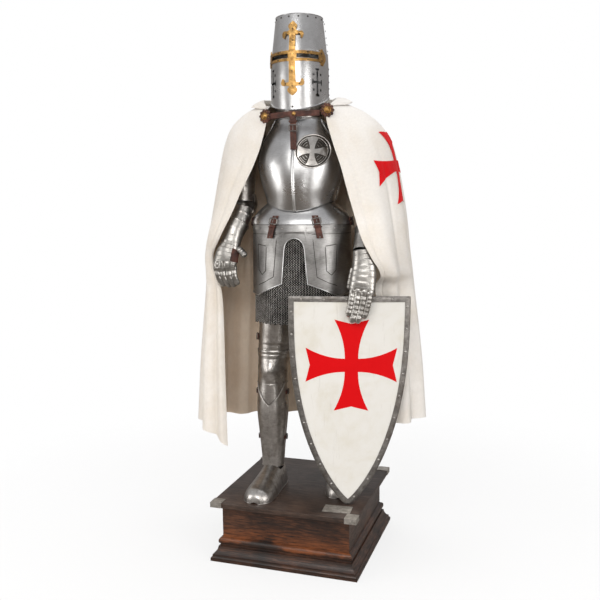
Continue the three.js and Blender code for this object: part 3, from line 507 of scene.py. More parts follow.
def weave_group():
    """Plain weave on the flat cloth: one wave across and one along, higher where each thread is on
    top, with a slub noise so that no two threads are quite alike."""
    tree, (place, threads) = open_group("plain_weave", {"Vector": (0, 0, 0), "Threads": 900.0})
    turn = node("ShaderNodeVectorMath", {0: place, "Scale": threads}, operation="SCALE")
    half_turns = [times(axis, math.pi) for axis in axes_of(turn.outputs[0])[:2]]
    waves = [calc("ABSOLUTE", calc("SINE", angle)) for angle in half_turns]
    return close_group(tree, Height=calc("MAXIMUM", *waves),
                       Slub=noise(place, Scale=90, Detail=4, Roughness=0.65))


def stain_group():
    """Stains: clouds at two scales added up, of which a smooth step keeps only the high places."""
    tree, (place, scale, low, high) = open_group(
        "stains", {"Vector": (0, 0, 0), "Scale": 6.0, "From": 0.5, "To": 0.75})
    wide = noise(place, Scale=scale, Detail=6, Roughness=0.62, Distortion=0.8)
    fine = noise(place, Scale=times(scale, 5.3), Detail=4, Roughness=0.6)
    both = plus(times(wide, 0.75), times(fine, 0.25))
    span = node("ShaderNodeMapRange", {"Value": both, "From Min": low, "From Max": high},
                interpolation_type="SMOOTHSTEP")
    return close_group(tree, Mask=span.outputs[0])


POLISH, WEAVE, STAINS = polish_group(), weave_group(), stain_group()


def stained(place, scale, low, high):
    return use(STAINS, Vector=place, Scale=scale, From=low, To=high)["Mask"]


print("groups:", POLISH.name, WEAVE.name, STAINS.name)

# %% [markdown]
# ### Metals
# Polished plate is bright with soft clouds in its polish and faint brushing round the body. Older
# pieces of the harness are darker, with brown oil left in patches. The shader's roughness moves a
# little with the same clouds, which breaks up the long reflections as hand polishing does.

# %% Metals
def steel(name, slot, dark, light, rough, stretch, pits, cloud_scale, relief, stain=0.0):
    """A metal between a dark and a light tone, brushed round the body: stretch packs the lines."""
    made, place, _ = begin(name, slot, Metallic=1.0)
    polish = use(POLISH, Vector=place, Scale=cloud_scale, Stretch=(1, 1, stretch), Pits=pits)
    tone = plus(times(polish["Cloud"], 0.7), times(polish["Streak"], 0.3))
    colour = ramp(tone, (0.3, dark), (0.62, light))
    if stain:
        mask = times(stained(place, 14.0, 0.47, 0.68), stain)
        colour = blend(mask, colour, (0.10, 0.075, 0.055))
    return close(made, colour, polish["Height"], relief, ramp(tone, (0.3, rough + 0.12), (0.65, rough)))


BRIGHT = steel("bright_steel", "bright_steel", (0.38, 0.38, 0.38), (0.70, 0.705, 0.715), 0.25,
               10, 0.0, 9.0, 0.0004)
# A darker copy of the bright steel for the skirt plates: painted shade.
SKIRT_PAINTED_SHADE = steel("steel_painted_shade", "bright_steel", (0.12, 0.116, 0.112), (0.36, 0.355, 0.35), 0.36,
               10, 0.0, 9.0, 0.0004)
AGED = steel("aged_steel", "aged_steel", (0.28, 0.26, 0.245), (0.62, 0.60, 0.575), 0.27,
             5, 0.12, 20.0, 0.0008, stain=0.45)
HAND = steel("gauntlet_steel", "aged_steel", (0.26, 0.25, 0.235), (0.56, 0.545, 0.52), 0.30,
             5, 0.12, 26.0, 0.0006, stain=0.4)
IRON = steel("dark_iron", "iron", (0.12, 0.112, 0.105), (0.30, 0.285, 0.27), 0.42,
             2, 0.6, 40.0, 0.0012, stain=0.45)
PEWTER = steel("old_pewter", "iron", (0.30, 0.28, 0.25), (0.62, 0.59, 0.55), 0.48,
               2, 0.6, 60.0, 0.0010, stain=0.35)
BRASS = steel("aged_brass", "brass", (0.22, 0.105, 0.030), (0.66, 0.40, 0.14), 0.34,
              3, 0.25, 60.0, 0.0016, stain=0.55)
# Near-black steel, painted shade: in engraved lines, punched holes and the medallion's ground, and on rivet
# heads.
PAINTED_SHADE_DARK = steel("steel_painted_dark_shade", "bright_steel", (0.030, 0.027, 0.025), (0.085, 0.078, 0.070), 0.5,
               2, 0.8, 60.0, 0.0006)


def mail_material():
    """Two sets of rings half a pitch apart. Each is a hump that follows a circle; those of one set
    lean left and those of the other lean right, as linked rings do."""
    made, place, flat = begin("mail_rings", "mail", Metallic=0.85, Roughness=0.38)
    heights = []
    for shift, lean in ((0.0, 0.5), (0.5, -0.5)):
        cell = vector("FRACTION", vector("ADD", flat, (shift, shift, 0))[0])[0]
        middle = vector("SUBTRACT", cell, (0.5, 0.5, 0))[0]
        radius = vector("LENGTH", middle)["Value"]
        off = calc("ABSOLUTE", calc("SUBTRACT", radius, 0.36))
        hump = calc("SUBTRACT", 1.0, times(off, 7.5), clamp=True)
        tip = plus(0.75, times(axes_of(middle)[0], lean))
        heights.append(times(hump, tip))
    height = calc("MAXIMUM", *heights)
    # The colour is painted light: near black between the rings as shade, and bright on the rings as
    # highlight.
    ring_highlight_gap_shade = times(height, plus(0.55, noise(place, Scale=30, Detail=3)))
    return close(made, ramp(ring_highlight_gap_shade, (0.40, (0.003, 0.003, 0.003)), (0.78, (0.95, 0.92, 0.88))),
                 height, 0.0030)


MAIL = mail_material()
print("metals:", BRIGHT.name, AGED.name, HAND.name, IRON.name, BRASS.name, MAIL.name)

# %% [markdown]
# ### Cloth, leather, paint and oak
# The mantle is thick undyed wool: a plain weave that shows only close to, with broad warm and cool
# patches. The board's paint has aged in streaks and spots. The oak is stained so dark that its
# grain shows mostly as a change of gloss.

# %% Soft and painted finishes
THREADS = 620.0                         # of the weave, to a metre of cloth


def cloth(name, slot, dark, light, sheen_tint):
    """Woven wool, in patches between a dark and a light shade."""
    made, place, flat = begin(name, slot, Roughness=0.92, Sheen_Weight=0.25, Sheen_Roughness=0.45,
                              Specular_IOR_Level=0.2, Sheen_Tint=sheen_tint)
    weave = use(WEAVE, Vector=flat, Threads=THREADS)
    tone = blend(stained(place, 3.0, 0.38, 0.66), light, dark)
    thread = ramp(weave["Slub"], (0.3, 0.93), (0.7, 1.0))
    high = plus(times(weave["Height"], 0.5), weave["Slub"])
    return close(made, blend(1.0, tone, thread, "MULTIPLY"), high, 0.0009)


WOOL = cloth("white_wool", "white_wool", (0.84, 0.79, 0.72), (0.90, 0.875, 0.84), (1, 0.98, 0.94))
# A tan copy of the wool for the mantle's inner side: painted warm shade.
WOOL_PAINTED_INNER_SHADE = cloth("tan_lining", "white_wool", (0.84, 0.70, 0.56), (0.92, 0.80, 0.67), (1, 0.92, 0.84))
RED_WOOL = cloth("red_wool", "red_wool", (0.62, 0.003, 0.006), (0.80, 0.005, 0.010), (1, 0.3, 0.3))


def leather():
    """Fine grain cells over soft clouds: smoother and warmer where the leather is worn."""
    made, place, _ = begin("brown_leather", "brown_leather", Specular_IOR_Level=0.45)
    grain = node("ShaderNodeTexVoronoi", {"Vector": place, "Scale": 420}, feature="DISTANCE_TO_EDGE")
    cloud = noise(place, Scale=35, Detail=5, Roughness=0.6)
    colour = ramp(cloud, (0.35, (0.030, 0.012, 0.009)), (0.55, (0.085, 0.028, 0.019)),
                  (0.75, (0.17, 0.065, 0.042)))
    high = plus(times(grain.outputs["Distance"], 1.5), cloud)
    return close(made, colour, high, 0.0010, ramp(cloud, (0.3, 0.62), (0.75, 0.38)))


LEATHER = leather()


def paint(name, light, aged, spot, strength):
    """Old paint: yellowed clouds, grey streaks that run down the board, and small dark chips."""
    made, _, flat = begin(name, "painted_board", Specular_IOR_Level=0.12)
    drawn = node("ShaderNodeMapping", {"Vector": flat, "Scale": (9.0, 1.1, 1.0)}).outputs[0]
    yellow = stained(flat, 5.0, 0.42, 0.70)
    streak = stained(drawn, 4.0, 0.55, 0.78)
    chips = stained(flat, 48.0, 0.66, 0.70)
    colour = light
    for mask, share, shade in ((yellow, 0.8, aged), (streak, 0.40, spot), (chips, 0.75, spot)):
        colour = blend(times(mask, share * strength), colour, shade)
    worn = calc("SUBTRACT", times(yellow, 0.4), chips)
    return close(made, colour, worn, 0.0006, ramp(yellow, (0.0, 0.55), (1.0, 0.72)))


PAINT = paint("aged_paint", (0.75, 0.745, 0.72), (0.66, 0.635, 0.56), (0.30, 0.27, 0.23), 1.0)
RED_PAINT = paint("red_paint", (0.66, 0.0015, 0.004), (0.56, 0.0015, 0.004), (0.34, 0.008, 0.008), 0.4)


def oak(name, seen, stretch, warm_band=0.0):
    """Grain: thin noise drawn out along the board, over slow bands of lighter and darker wood. Low on
    the box, in a band whose height wanders with the clouds, warmer and lighter wood is mixed in."""
    made, place, _ = begin(name, "oak", Coat_Weight=0.22, Coat_Roughness=0.30)
    drawn = node("ShaderNodeMapping", {"Vector": place, "Scale": stretch}).outputs[0]
    fine = noise(drawn, Scale=6, Detail=6, Roughness=0.7, Distortion=0.5)
    wide = noise(place, Scale=7, Detail=4, Roughness=0.6)
    tone = plus(times(fine, 0.6), times(wide, 0.4))
    height = plus(axes_of(place)[2], times(wide, 0.10))
    low = ramp(height, (0.122, 0.0), (0.132, 1.0), (0.150, 1.0), (0.205, 0.0))
    warm_wood = ramp(tone, (0.40, (0.020, 0.007, 0.003)), (0.62, (0.27, 0.080, 0.022)))
    colour = blend(times(low, warm_band), ramp(tone, *seen), warm_wood)
    return close(made, colour, tone, 0.0016, ramp(tone, (0.35, 0.5), (0.65, 0.33)))


ALONG_X, ALONG_Y = (3.0, 30.0, 30.0), (30.0, 3.0, 30.0)
DARK_GRAIN = ((0.38, (0.007, 0.004, 0.003)), (0.5, (0.028, 0.012, 0.007)), (0.66, (0.12, 0.048, 0.024)))
TOP_GRAIN = ((0.38, (0.012, 0.008, 0.006)), (0.5, (0.038, 0.022, 0.016)), (0.66, (0.10, 0.062, 0.045)))
OAK_ALONG = oak("oak_along", DARK_GRAIN, ALONG_X, warm_band=0.8)
OAK_ACROSS = oak("oak_across", DARK_GRAIN, ALONG_Y)
OAK_TOP = oak("oak_top", TOP_GRAIN, ALONG_X)
print("soft finishes:", WOOL.name, RED_WOOL.name, LEATHER.name, PAINT.name, OAK_ALONG.name)

# %% [markdown]
# ## The plinth
# A hollow oak box with a thick lid and a moulded foot. The foot is one profile, a bead over a long
# cove and two steps, carried round a square with mitred corners. Sheet-metal corners protect the
# lid, and a blank plate is pinned to it.

# %% Plinth
(_, _, LID_LOW), (LID_HALF, _, _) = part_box("plinth_lid")
(_, _, BOX_LOW), (BOX_HALF, _, BOX_HIGH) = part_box("plinth_box")
WALL = 0.018                            # of the box, behind its face
FLANGE = 0.0017                         # how far a lid corner's sheet stands off the lid's edge
PLATE_TURN = math.radians(4)
FOOT_PROFILE = table(
    "out z",
    (.039, 0), (.039, .012), (.0365, .0125), (.0345, .015), (.033, .018), (.033, .024), (.030, .0245),
    (.025, .029), (.021, .035), (.0175, .042), (.0155, .049), (.0145, .054), (.008, .0545),
    (.008, .063), (.010, .0635), (.0125, .066), (.0140, .070), (.0142, .075), (.0132, .080),
    (.0105, .084), (.007, .0865), (.004, .088), (.002, .0895), (0, .090),
)
SIDES = table("out z", (0, BOX_LOW), (0, BOX_HIGH))


def on_floor(points):
    return points


def square_wall(half, profile, side):
    """One mitred side of a moulding: the profile swept along one side of a square."""
    out, z = profile["out"], profile["z"]
    u = np.linspace(-1, 1, 3)[None, :]
    across = u * (half + out)[:, None]
    depth = np.broadcast_to(-(half + out)[:, None], across.shape)
    turn = side * np.pi / 2
    x = across * np.cos(turn) - depth * np.sin(turn)
    y = across * np.sin(turn) + depth * np.cos(turn)
    return np.stack([x, y, np.broadcast_to(z[:, None], x.shape)], -1)


def closed_ring(profile):
    """A profile with its plain back, as a closed line."""
    out, z = profile["out"], profile["z"]
    return {"out": np.array([-WALL, *out, -WALL, -WALL]), "z": np.array([z[0], *z, z[-1], z[0]])}


def add_plinth():
    for name, profile, replaced in (("plinth_foot_moulding", FOOT_PROFILE, "plinth_moulding"),
                                    ("plinth_sides", SIDES, "plinth_box")):
        whole = closed_ring(profile)
        count = len(whole["out"]) - 1
        for side, where in enumerate(("front", "right", "back", "left")):
            points = square_wall(BOX_HALF, whole, side)
            flat = points.reshape(-1, 3)
            first = np.arange(count) * 3
            parts = [(points, faces_of(count, 2)), (flat, first[None]), (flat, first[::-1][None] + 2)]
            make(f"{name}_{where}", parts, OAK_ACROSS if side % 2 else OAK_ALONG,
                 () if side else (replaced,), sharp=32, place=on_floor)
    (x0, y0, z0), (x1, y1, z1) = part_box("plinth_lid")
    corners = np.array([(x, y, z) for z in (z0, z1) for y in (y0, y1) for x in (x0, x1)])
    sides = np.array([(0, 1, 5, 4), (1, 3, 7, 5), (3, 2, 6, 7), (2, 0, 4, 6), (4, 5, 7, 6), (0, 2, 3, 1)])
    make("plinth_lid_board", [(corners, sides)], OAK_TOP, ("plinth_lid",), place=on_floor, bevel=0.0022)
    for name in ("plinth_bottom", "name_plate", *[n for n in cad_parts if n.startswith("corner_")]):
        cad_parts[name].data.materials.clear()
        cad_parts[name].data.materials.append(OAK_ALONG if name == "plinth_bottom" else PEWTER)


def add_plinth_pins():
    """Round pins in the plate's corners and in the two flanges of each lid corner."""
    low, high = np.array(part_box("name_plate"))
    c, s = math.cos(PLATE_TURN), math.sin(PLATE_TURN)
    corners = np.array([(x * 0.047, y * 0.026) for x in (-1, 1) for y in (-1, 1)])
    spots = (low + high)[:2] / 2 + corners @ np.array([[c, s], [-s, c]])
    heads = [(*spot, high[2]) for spot in spots]
    normals = [UP] * len(heads)
    inset, edge, middle = LID_HALF - 0.021, LID_HALF + FLANGE, (LID_LOW + LID_TOP) / 2
    for x in (-1, 1):
        for y in (-1, 1):
            heads += [(x * inset, y * edge, middle), (x * edge, y * inset, middle)]
            normals += [(0, y, 0), (x, 0, 0)]
    make("plinth_pins", domes(np.array(heads), normals, 0.0027, 0.45), PEWTER, place=on_floor)


add_plinth()
add_plinth_pins()
print("plinth: lid half", round(LID_HALF, 4), "box half", round(BOX_HALF, 4))

# %% [markdown]
# ## The great helm
# The helm is a barrel of two overlapping plates with a flat top. Its section is an oval, deeper in
# front, and its foot dips to a point at the chin. The grid gets a column or a row wherever a slot
# begins or ends, so the sight and the breaths can be opened by leaving faces out.

# %% Helm tables
HELM = table(
    "z wide front back",
    (1.44, .109, .139, .124),
    (1.54, .1095, .138, .124),
    (1.67, .108, .136, .122),
    (1.76, .099, .12, .11),
    (1.826, .0915, .106, .1),
)
HELM_FRONT, HELM_SIDE, HELM_TOP = 1.478, 1.533, 1.826
SIGHT = dict(low=1.664, high=1.678, start=.012, end=.098)
CROSS = dict(top=1.798, foot=1.529, bar=.0122, end=.148, slot=.1095)
BREATH = dict(angle=50, z=1.580, tall=.098, wide=.052, slot=.0088, serif=.020, dot=(.0185, .028))
LAP = 0.003                             # how far an inner plate lies behind an outer one


def oval(rows, z, angle, lift=0.0):
    """A point of an oval section: angle 0 is the front, turning to the suit's left."""
    wide = along(rows, "wide", z) + lift
    deep = np.where(np.cos(angle) > 0, along(rows, "front", z), along(rows, "back", z)) + lift
    return np.stack(np.broadcast_arrays(wide * np.sin(angle), -deep * np.cos(angle), z), -1)


def helm_foot(angle):
    """Level round the back and sides, dipping along a quarter of a sine to the chin."""
    off = np.abs((angle + np.pi) % (2 * np.pi) - np.pi) / (np.pi / 2)
    near = np.maximum(0, 1 - off / 1.05)
    return mix(HELM_SIDE, HELM_FRONT, np.sin(near * np.pi / 2) ** 1.15)


def with_lines(plain, special):
    """Grid lines at the plain places and at the special ones, leaving out plain ones too close."""
    special = np.unique(np.round(special, 7))
    far = np.abs(plain[:, None] - special[None]).min(1) > 0.4 * np.diff(plain).mean()
    far[0] = far[-1] = True
    special = special[(special > plain[0] + 1e-6) & (special < plain[-1] - 1e-6)]
    return np.sort(np.concatenate([plain[far], special]))


# %% Helm plates
HELM_WIDE = .1083                       # its half width at the sight
BREATH_TURN = .1268                     # metres round the helm for each radian at the breaths
SIGHT_MIDDLE = (SIGHT["low"] + SIGHT["high"]) / 2
LAP_TOP = SIGHT_MIDDLE + .022           # where the lower plate ends, over the upper one
LID_SHARE = np.array([1.0, 1.0, .97, .8, .45, 0.0])
LID_RISE = np.array([-.0026, 0, .0012, .0020, .0024, .0024])


def breath_boxes():
    """The slots and dots of one breath: middle and half size, round the helm and up it."""
    b = BREATH
    boxes = [(0, 0, b["slot"] / 2, b["tall"] / 2), (0, 0, b["wide"] / 2, b["slot"] / 2)]
    for sign in (-1, 1):
        boxes.append((0, sign * (b["tall"] / 2 - .0027), b["serif"] / 2, .0034))
        boxes.append((sign * (b["wide"] / 2 - .0034), 0, .0034, b["serif"] / 2))
        for other in (-1, 1):
            boxes.append((sign * b["dot"][0], other * b["dot"][1], .0042, .0042))
    return np.array(boxes)


def cells(grid_values):
    return (grid_values[:-1, :-1] + grid_values[1:, 1:]) / 2


def in_sight(a, h):
    """Which cells of the helm lie in one of the sight's two slits."""
    across = np.abs(HELM_WIDE * np.sin(a))
    return ((h > SIGHT["low"]) & (h < SIGHT["high"]) & (np.cos(a) > 0)
            & (across > SIGHT["start"]) & (across < SIGHT["end"]))


def add_helm_plates():
    boxes = breath_boxes()
    plain = np.linspace(-np.pi, np.pi, 181)
    sight = [SIGHT["low"], SIGHT["high"]]
    sight_ends = [side * np.arcsin(SIGHT[end] / HELM_WIDE) for side in (-1, 1) for end in ("start", "end")]
    turns = [np.radians(side * BREATH["angle"]) + (boxes[:, 0] + s * boxes[:, 2]) / BREATH_TURN
             for side in (-1, 1) for s in (-1, 1)]
    levels = [BREATH["z"] + boxes[:, 1] + s * boxes[:, 3] for s in (-1, 1)]
    angles = with_lines(plain, np.concatenate([*turns, sight_ends]))
    level = with_lines(np.linspace(HELM_SIDE + .0015, LAP_TOP, 18), np.concatenate([*levels, sight]))
    skirt = mix(helm_foot(angles)[None], level[0], np.linspace(0, 1, 7)[:-1, None])
    z = np.vstack([skirt, np.meshgrid(angles, level)[1]])
    angle = np.broadcast_to(angles, z.shape)
    a, h = cells(angle), cells(z)
    opened = in_sight(a, h)
    for side in (-1, 1):
        away = (a - np.radians(side * BREATH["angle"])) * BREATH_TURN
        for x, up, half_x, half_z in boxes:
            opened |= (np.abs(away - x) < half_x) & (np.abs(h - BREATH["z"] - up) < half_z)
    plate("helm_lower", oval(HELM, z, angle), BRIGHT, ("helm_face",), ring=True, keep=~opened)
    angle, z = np.meshgrid(with_lines(plain, sight_ends),
                           with_lines(np.linspace(SIGHT_MIDDLE - .022, HELM_TOP, 24), sight))
    plate("helm_upper", oval(HELM, z, angle, -LAP), BRIGHT, ("helm_skull",), ring=True,
          keep=~in_sight(cells(angle), cells(z)))
    rim = oval(HELM, HELM_TOP, np.linspace(-np.pi, np.pi, 129), -LAP)
    lid = rim[None] * LID_SHARE[:, None, None]
    lid[..., 2] = HELM_TOP + LID_RISE[:, None]
    plate("helm_lid", lid, BRIGHT, ("helm_top",), ring=True, wall=0.0014)
    edge = plain[:-1]
    foot = oval(HELM, helm_foot(edge), edge, .0004)
    crown = oval(HELM, np.full_like(edge, HELM_TOP + .0004), edge, -LAP)
    seam = oval(HELM, np.full_like(edge, LAP_TOP), edge, .0001)
    beads = [tube(foot, .0023, closed=True), tube(crown, .0013, closed=True),
             tube(seam, .0007, sides=6, closed=True)]
    make("helm_rolled_edges", beads, BRIGHT)


add_helm_plates()

# %% [markdown]
# ### The brass cross
# The cross is cut from sheet brass with a fleury head at each end: a pointed tip between two curled
# lobes. It is drawn flat, filled with triangles, and then wrapped round the helm by turning each
# distance across into an angle. The slits of the sight go through its arms.

# %% Brass cross
def fleury_head(bar, lobe, long, tip):
    """The right half of a head at the end of a bar that points up, from the bar to the tip."""
    return np.vstack([
        [(bar, -long), (bar + .0015, -long + .012), (lobe - .010, -long + .0135)],
        arc(lobe - .001, -long + .004, .0048, 150, 330, 7),
        arc(lobe - .0045, -long + .0135, .0115, -20, 95, 9),
        [(lobe - .0145, -long + .0235), (bar * .92, -tip + .004)],
        arc(bar * .62, -tip * .56, .0112, -35, 48, 7),
        [(bar * .42, -tip * .10), (0, 0)],
    ])


def mirrored(half):
    """A closed outline from the half of it that lies right of the middle, foot to tip."""
    other = half[::-1] * (-1, 1)
    return np.vstack([half, other[np.abs(other[:, 0]) > 1e-9]])


def helm_wrap(flat, lift):
    """Bends a flat drawing round the helm: the distance across becomes a distance round the oval."""
    turn = np.linspace(0, 1.6, 400)
    run = oval(HELM, 1.671, turn, lift)
    angle = np.sign(flat[:, 0]) * np.interp(np.abs(flat[:, 0]), running(run), turn)
    return oval(HELM, flat[:, 1], angle, lift)


def add_helm_cross():
    top, foot, bar, end, slot_end = (CROSS[key] for key in ("top", "foot", "bar", "end", "slot"))
    upper = fleury_head(bar, .038, .062, .036) + (0, top)
    lower = fleury_head(bar, .038, .060, .036) * (1, -1) + (0, foot)
    upright = mirrored(np.vstack([lower[::-1], upper]))
    flat, faces = cut_out(dense(upright, .006), .006)
    parts = [(helm_wrap(flat, LAP + .0006), faces)]
    half = np.vstack([
        [(bar - .001, .019), (end - .034, .0175)],
        arc(end - .016, .0225, .0085, 200, 20, 8),
        arc(end + .001, .006, .008, 70, 0, 4),
        [(end + .012, 0)],
    ])
    arm = np.vstack([half, half[-2::-1] * (1, -1)]) + (0, SIGHT_MIDDLE)
    flat, faces = cut_out(dense(arm, .006), .0035)
    x, z = flat[faces].mean(1).T
    opened = ((x > SIGHT["start"] + .0035) & (x < slot_end)
              & (z > SIGHT["low"] - .0005) & (z < SIGHT["high"] + .0005))
    faces = faces[~opened]
    parts += [(helm_wrap(flat * (-1, 1), LAP), faces[:, ::-1]), (helm_wrap(flat, LAP), faces)]
    make("helm_cross_brass", parts, BRASS, ("helm_cross",), wall=0.0022)
    rivets = [(0, top - .030), (0, foot + .034)] + [(0, SIGHT_MIDDLE + s * .055) for s in (-1, 1)]
    for side in (-1, 1):
        rivets += [(side * .026, top - .048), (side * .026, foot + .042)]
        rivets += [(side * .128, SIGHT_MIDDLE + s * .013) for s in (-1, 1)]
        rivets += [(side * .060, SIGHT_MIDDLE + s * .0135) for s in (-1, 1)]
    pins = [(x, SIGHT_MIDDLE + z) for x in (-.006, .006) for z in (-.006, .006)]
    # The cross's rivets and pins are near black: painted shade.
    for name, spots, radius, high in (("helm_cross_rivets", rivets, .0028, .5),
                                      ("helm_cross_pins", pins, .0014, .4)):
        seats = helm_wrap(np.array(spots), LAP + .001)
        make(name, domes(seats, outwards(seats), radius, high), PAINTED_SHADE_DARK)


add_helm_cross()


def add_helm_rivets():
    """A seam of rivets up each side of the helm, a ring of them under the lid, and one at the chin."""
    up = np.array([1.545, 1.568, 1.592, 1.616, 1.640, 1.706, 1.730, 1.755, 1.780, 1.806])
    ring = around(16) + np.pi / 16
    seats = np.vstack([
        *[oval(HELM, up, np.full_like(up, side * np.radians(96))) for side in (-1, 1)],
        oval(HELM, np.full_like(ring, HELM_TOP - .010), ring, -LAP),
        oval(HELM, np.array([HELM_FRONT + .012]), np.array([0.0])),
    ])
    # Near-black rivet heads: painted shade.
    make("helm_rivets", domes(seats, outwards(seats), .0036, .6), PAINTED_SHADE_DARK)


add_helm_rivets()
print("helm: foot", HELM_FRONT, "to top", HELM_TOP)

# %% [markdown]
# ## The body plates
# Breastplate, backplate, waist and skirt all use one function: a band of a table's ovals between
# two angles, with its lower edge given by a function of the angle. Rolled edges, a raised keel and
# engraved lines are beads laid on the same surface.

# %% Body tables
GORGET = table(
    "z wide front back",
    (1.425, .088, .083, .08),
    (1.455, .089, .085, .081),
    (1.495, .096, .094, .09),
    (1.545, .1074, .104, .1),
)
TORSO = table(
    "z wide front back reach",
    (1.1, .134, .126, .092, 95),
    (1.15, .135, .14, .095, 95),
    (1.2, .149, .15, .102, 95),
    (1.25, .161, .154, .11, 95),
    (1.3, .166, .149, .115, 90),
    (1.36, .152, .132, .113, 74),
    (1.42, .119, .106, .1, 62),
    (1.46, .098, .091, .088, 60),
)
HIPS = table(
    "z wide front back",
    (.67, .202, .152, .175),
    (.79, .2, .152, .172),
    (.93, .198, .151, .16),
    (1.03, .196, .144, .138),
    (1.075, .192, .133, .124),
    (1.103, .175, .12, .106),
    (1.148, .126, .106, .086),
    (1.162, .12, .102, .082),
)
BREAST_TOP, BREAST_CHIN, BREAST_SIDE = 1.452, 1.109, 1.148
FAULD_TOP, FAULD_FOOT, TASSET_TOP = 1.156, 1.060, 1.074
ARCH = dict(half=.040, foot=.052, crown=1.008, spring=.960, bottom=.800)
MAIL_TOP, MAIL_HEM = 1.032, .678
MAIL_PITCH, MAIL_GIRTH = .0104, 1.13    # of the rings, and round the skirt
TASSET_WIDE = .1965                     # half width at the arch
ROUND = np.radians


def reach(z):
    """How many degrees the breastplate reaches round from the middle at a height."""
    return along(TORSO, "reach", np.clip(z, 1.1, BREAST_TOP))


def breast_foot(angle):
    """The lower edge: level at the sides, dipping to the middle as cos(angle) ** 2.2."""
    return mix(BREAST_SIDE, BREAST_CHIN, np.maximum(0, np.cos(ROUND(angle))) ** 2.2)


def breast(angle, z, lift=0.0):
    """The breastplate: the torso's oval with a keel, a narrow ridge down its middle."""
    keel = .0032 * np.exp(-(angle / 1.3) ** 2) * np.clip((1.345 - z) / .03, 0, 1)
    return oval(TORSO, z, ROUND(angle), lift + keel)


# %% Breastplate and backplate
def add_breastplate():
    """The oval from the lower edge to the neck, its columns spread as share ** 1.25 so that the
    keel gets the most, with rolled edges and an engraved line along each side."""
    u, v = grid(140, 70)
    share = u * 2 - 1
    share = np.sign(share) * np.abs(share) ** 1.25
    angle = share * reach(mix(BREAST_CHIN, BREAST_TOP, v))
    angle = share * reach(mix(breast_foot(angle), BREAST_TOP, v))
    points = breast(angle, mix(breast_foot(angle), BREAST_TOP, v))
    plate("breastplate_shell", points, BRIGHT, ("breastplate",))
    beads = [tube(points[:, 0], .0022, up=FRONT), tube(points[:, -1], .0022, up=FRONT),
             tube(points[-1], .0026), tube(points[0], .0015)]
    make("breastplate_rolled_edges", beads, BRIGHT)
    inset = breast(angle[:, 6] * .97, mix(breast_foot(angle[:, 6]), BREAST_TOP, v[:, 6]), .0002)[4:-6]
    lines = [tube(inset * (side, 1, 1), .0009, sides=6, up=FRONT) for side in (1, -1)]
    # The engraved lines are near-black beads: painted shade.
    make("breastplate_lines", lines, PAINTED_SHADE_DARK)


def add_backplate():
    u, v = grid(100, 44)
    z = mix(BREAST_SIDE, BREAST_TOP, v)
    angle = 180 + (u * 2 - 1) * (reach(z) - 2)
    points = oval(TORSO, z, ROUND(angle), -LAP)
    plate("backplate_shell", points, BRIGHT, ("backplate",))
    beads = [tube(points[:, 0], .0020, up=FRONT), tube(points[:, -1], .0020, up=FRONT),
             tube(points[-1], .0022)]
    make("backplate_rolled_edges", beads, BRIGHT)


def add_gorget():
    """The collar: three lames, each proud at its lower edge."""
    u, v = grid(120, 26)
    points = oval(GORGET, mix(1.428, 1.544, v), u * 2 * np.pi)
    step = .0010 * (1 - (v * 3) % 1)
    points[..., :2] *= (1 + step / .1)[..., None]
    plate("gorget_collar", points, AGED, ("gorget",), ring=True)


# %% The medallion
MEDAL = dict(x=.0687, z=1.3285, radius=.061)


def on_breast(flat, lift):
    """Lays a flat drawing round (x, z) on the breastplate: x is turned into an angle by the oval's
    half width at that height."""
    x, z = flat[:, 0], flat[:, 1]
    angle = np.degrees(np.arcsin(np.clip(x / along(TORSO, "wide", z), -1, 1)))
    return breast(angle, z, lift)


def pattee(arm, neck, end, notch, edges=7):
    """The outline of a cross pattee: four arms that widen in a curve to notched ends."""
    share = np.linspace(0, 1, edges)
    across = neck + (end - neck) * share ** 2
    away = mix(neck, arm, share)
    side = np.stack([across, away], -1)
    one = np.vstack([side * (-1, 1), [(0, arm - notch)], side[::-1]])[:-1]
    turns = [np.array([[np.cos(t), -np.sin(t)], [np.sin(t), np.cos(t)]]) for t in np.arange(4) * np.pi / 2]
    return np.vstack([one @ turn for turn in turns])


def add_medallion():
    """A shallow engraved disc between two rings, with a bright cross pattee raised on it."""
    centre = np.array([MEDAL["x"], MEDAL["z"]])
    radius = MEDAL["radius"]
    turn = around(96)
    circle = lambda r: centre + r * np.stack([np.cos(turn), np.sin(turn)], -1)
    rings = [tube(on_breast(circle(r), .0012), w, closed=True, up=FRONT, squash=.6)
             for r, w in ((radius, .0028), (radius * .86, .0016))]
    make("medallion_rings", rings, AGED)
    flat, faces = cut_out(dense(circle(radius), .006), .006)
    # The medallion's ground is near black: painted shade.
    make("medallion_ground", [(on_breast(flat, .0006), faces)], PAINTED_SHADE_DARK, wall=.0004)
    scroll = []
    for quarter in range(4):
        middle = np.pi / 4 + quarter * np.pi / 2
        for r, spread in ((.46, .20), (.62, .30), (.76, .36)):
            swing = np.linspace(middle - spread, middle + spread, 14)
            path = centre + radius * r * np.stack([np.cos(swing), np.sin(swing)], -1)
            scroll.append(tube(on_breast(path, .0010), .0007, sides=5, up=FRONT))
    make("medallion_scrolls", scroll, AGED)
    cross = pattee(radius * .84, radius * .13, radius * .36, .001) + centre
    flat, faces = cut_out(dense(cross, .004), .004)
    make("medallion_cross", [(on_breast(flat, .0024), faces)], AGED, wall=.0016)


add_breastplate()
add_backplate()
add_gorget()
add_medallion()
print("breastplate, backplate, gorget and medallion")

# %% Waist, tassets and culet
def tasset_foot(angle):
    """Highest at the arch, lowest part way round, and up again at the hip."""
    off = np.abs(angle)
    down = mix(.836, .788, np.clip((off - 15) / 37, 0, 1))
    return np.where(off < 52, down, mix(.788, .800, (off - 52) / 45))


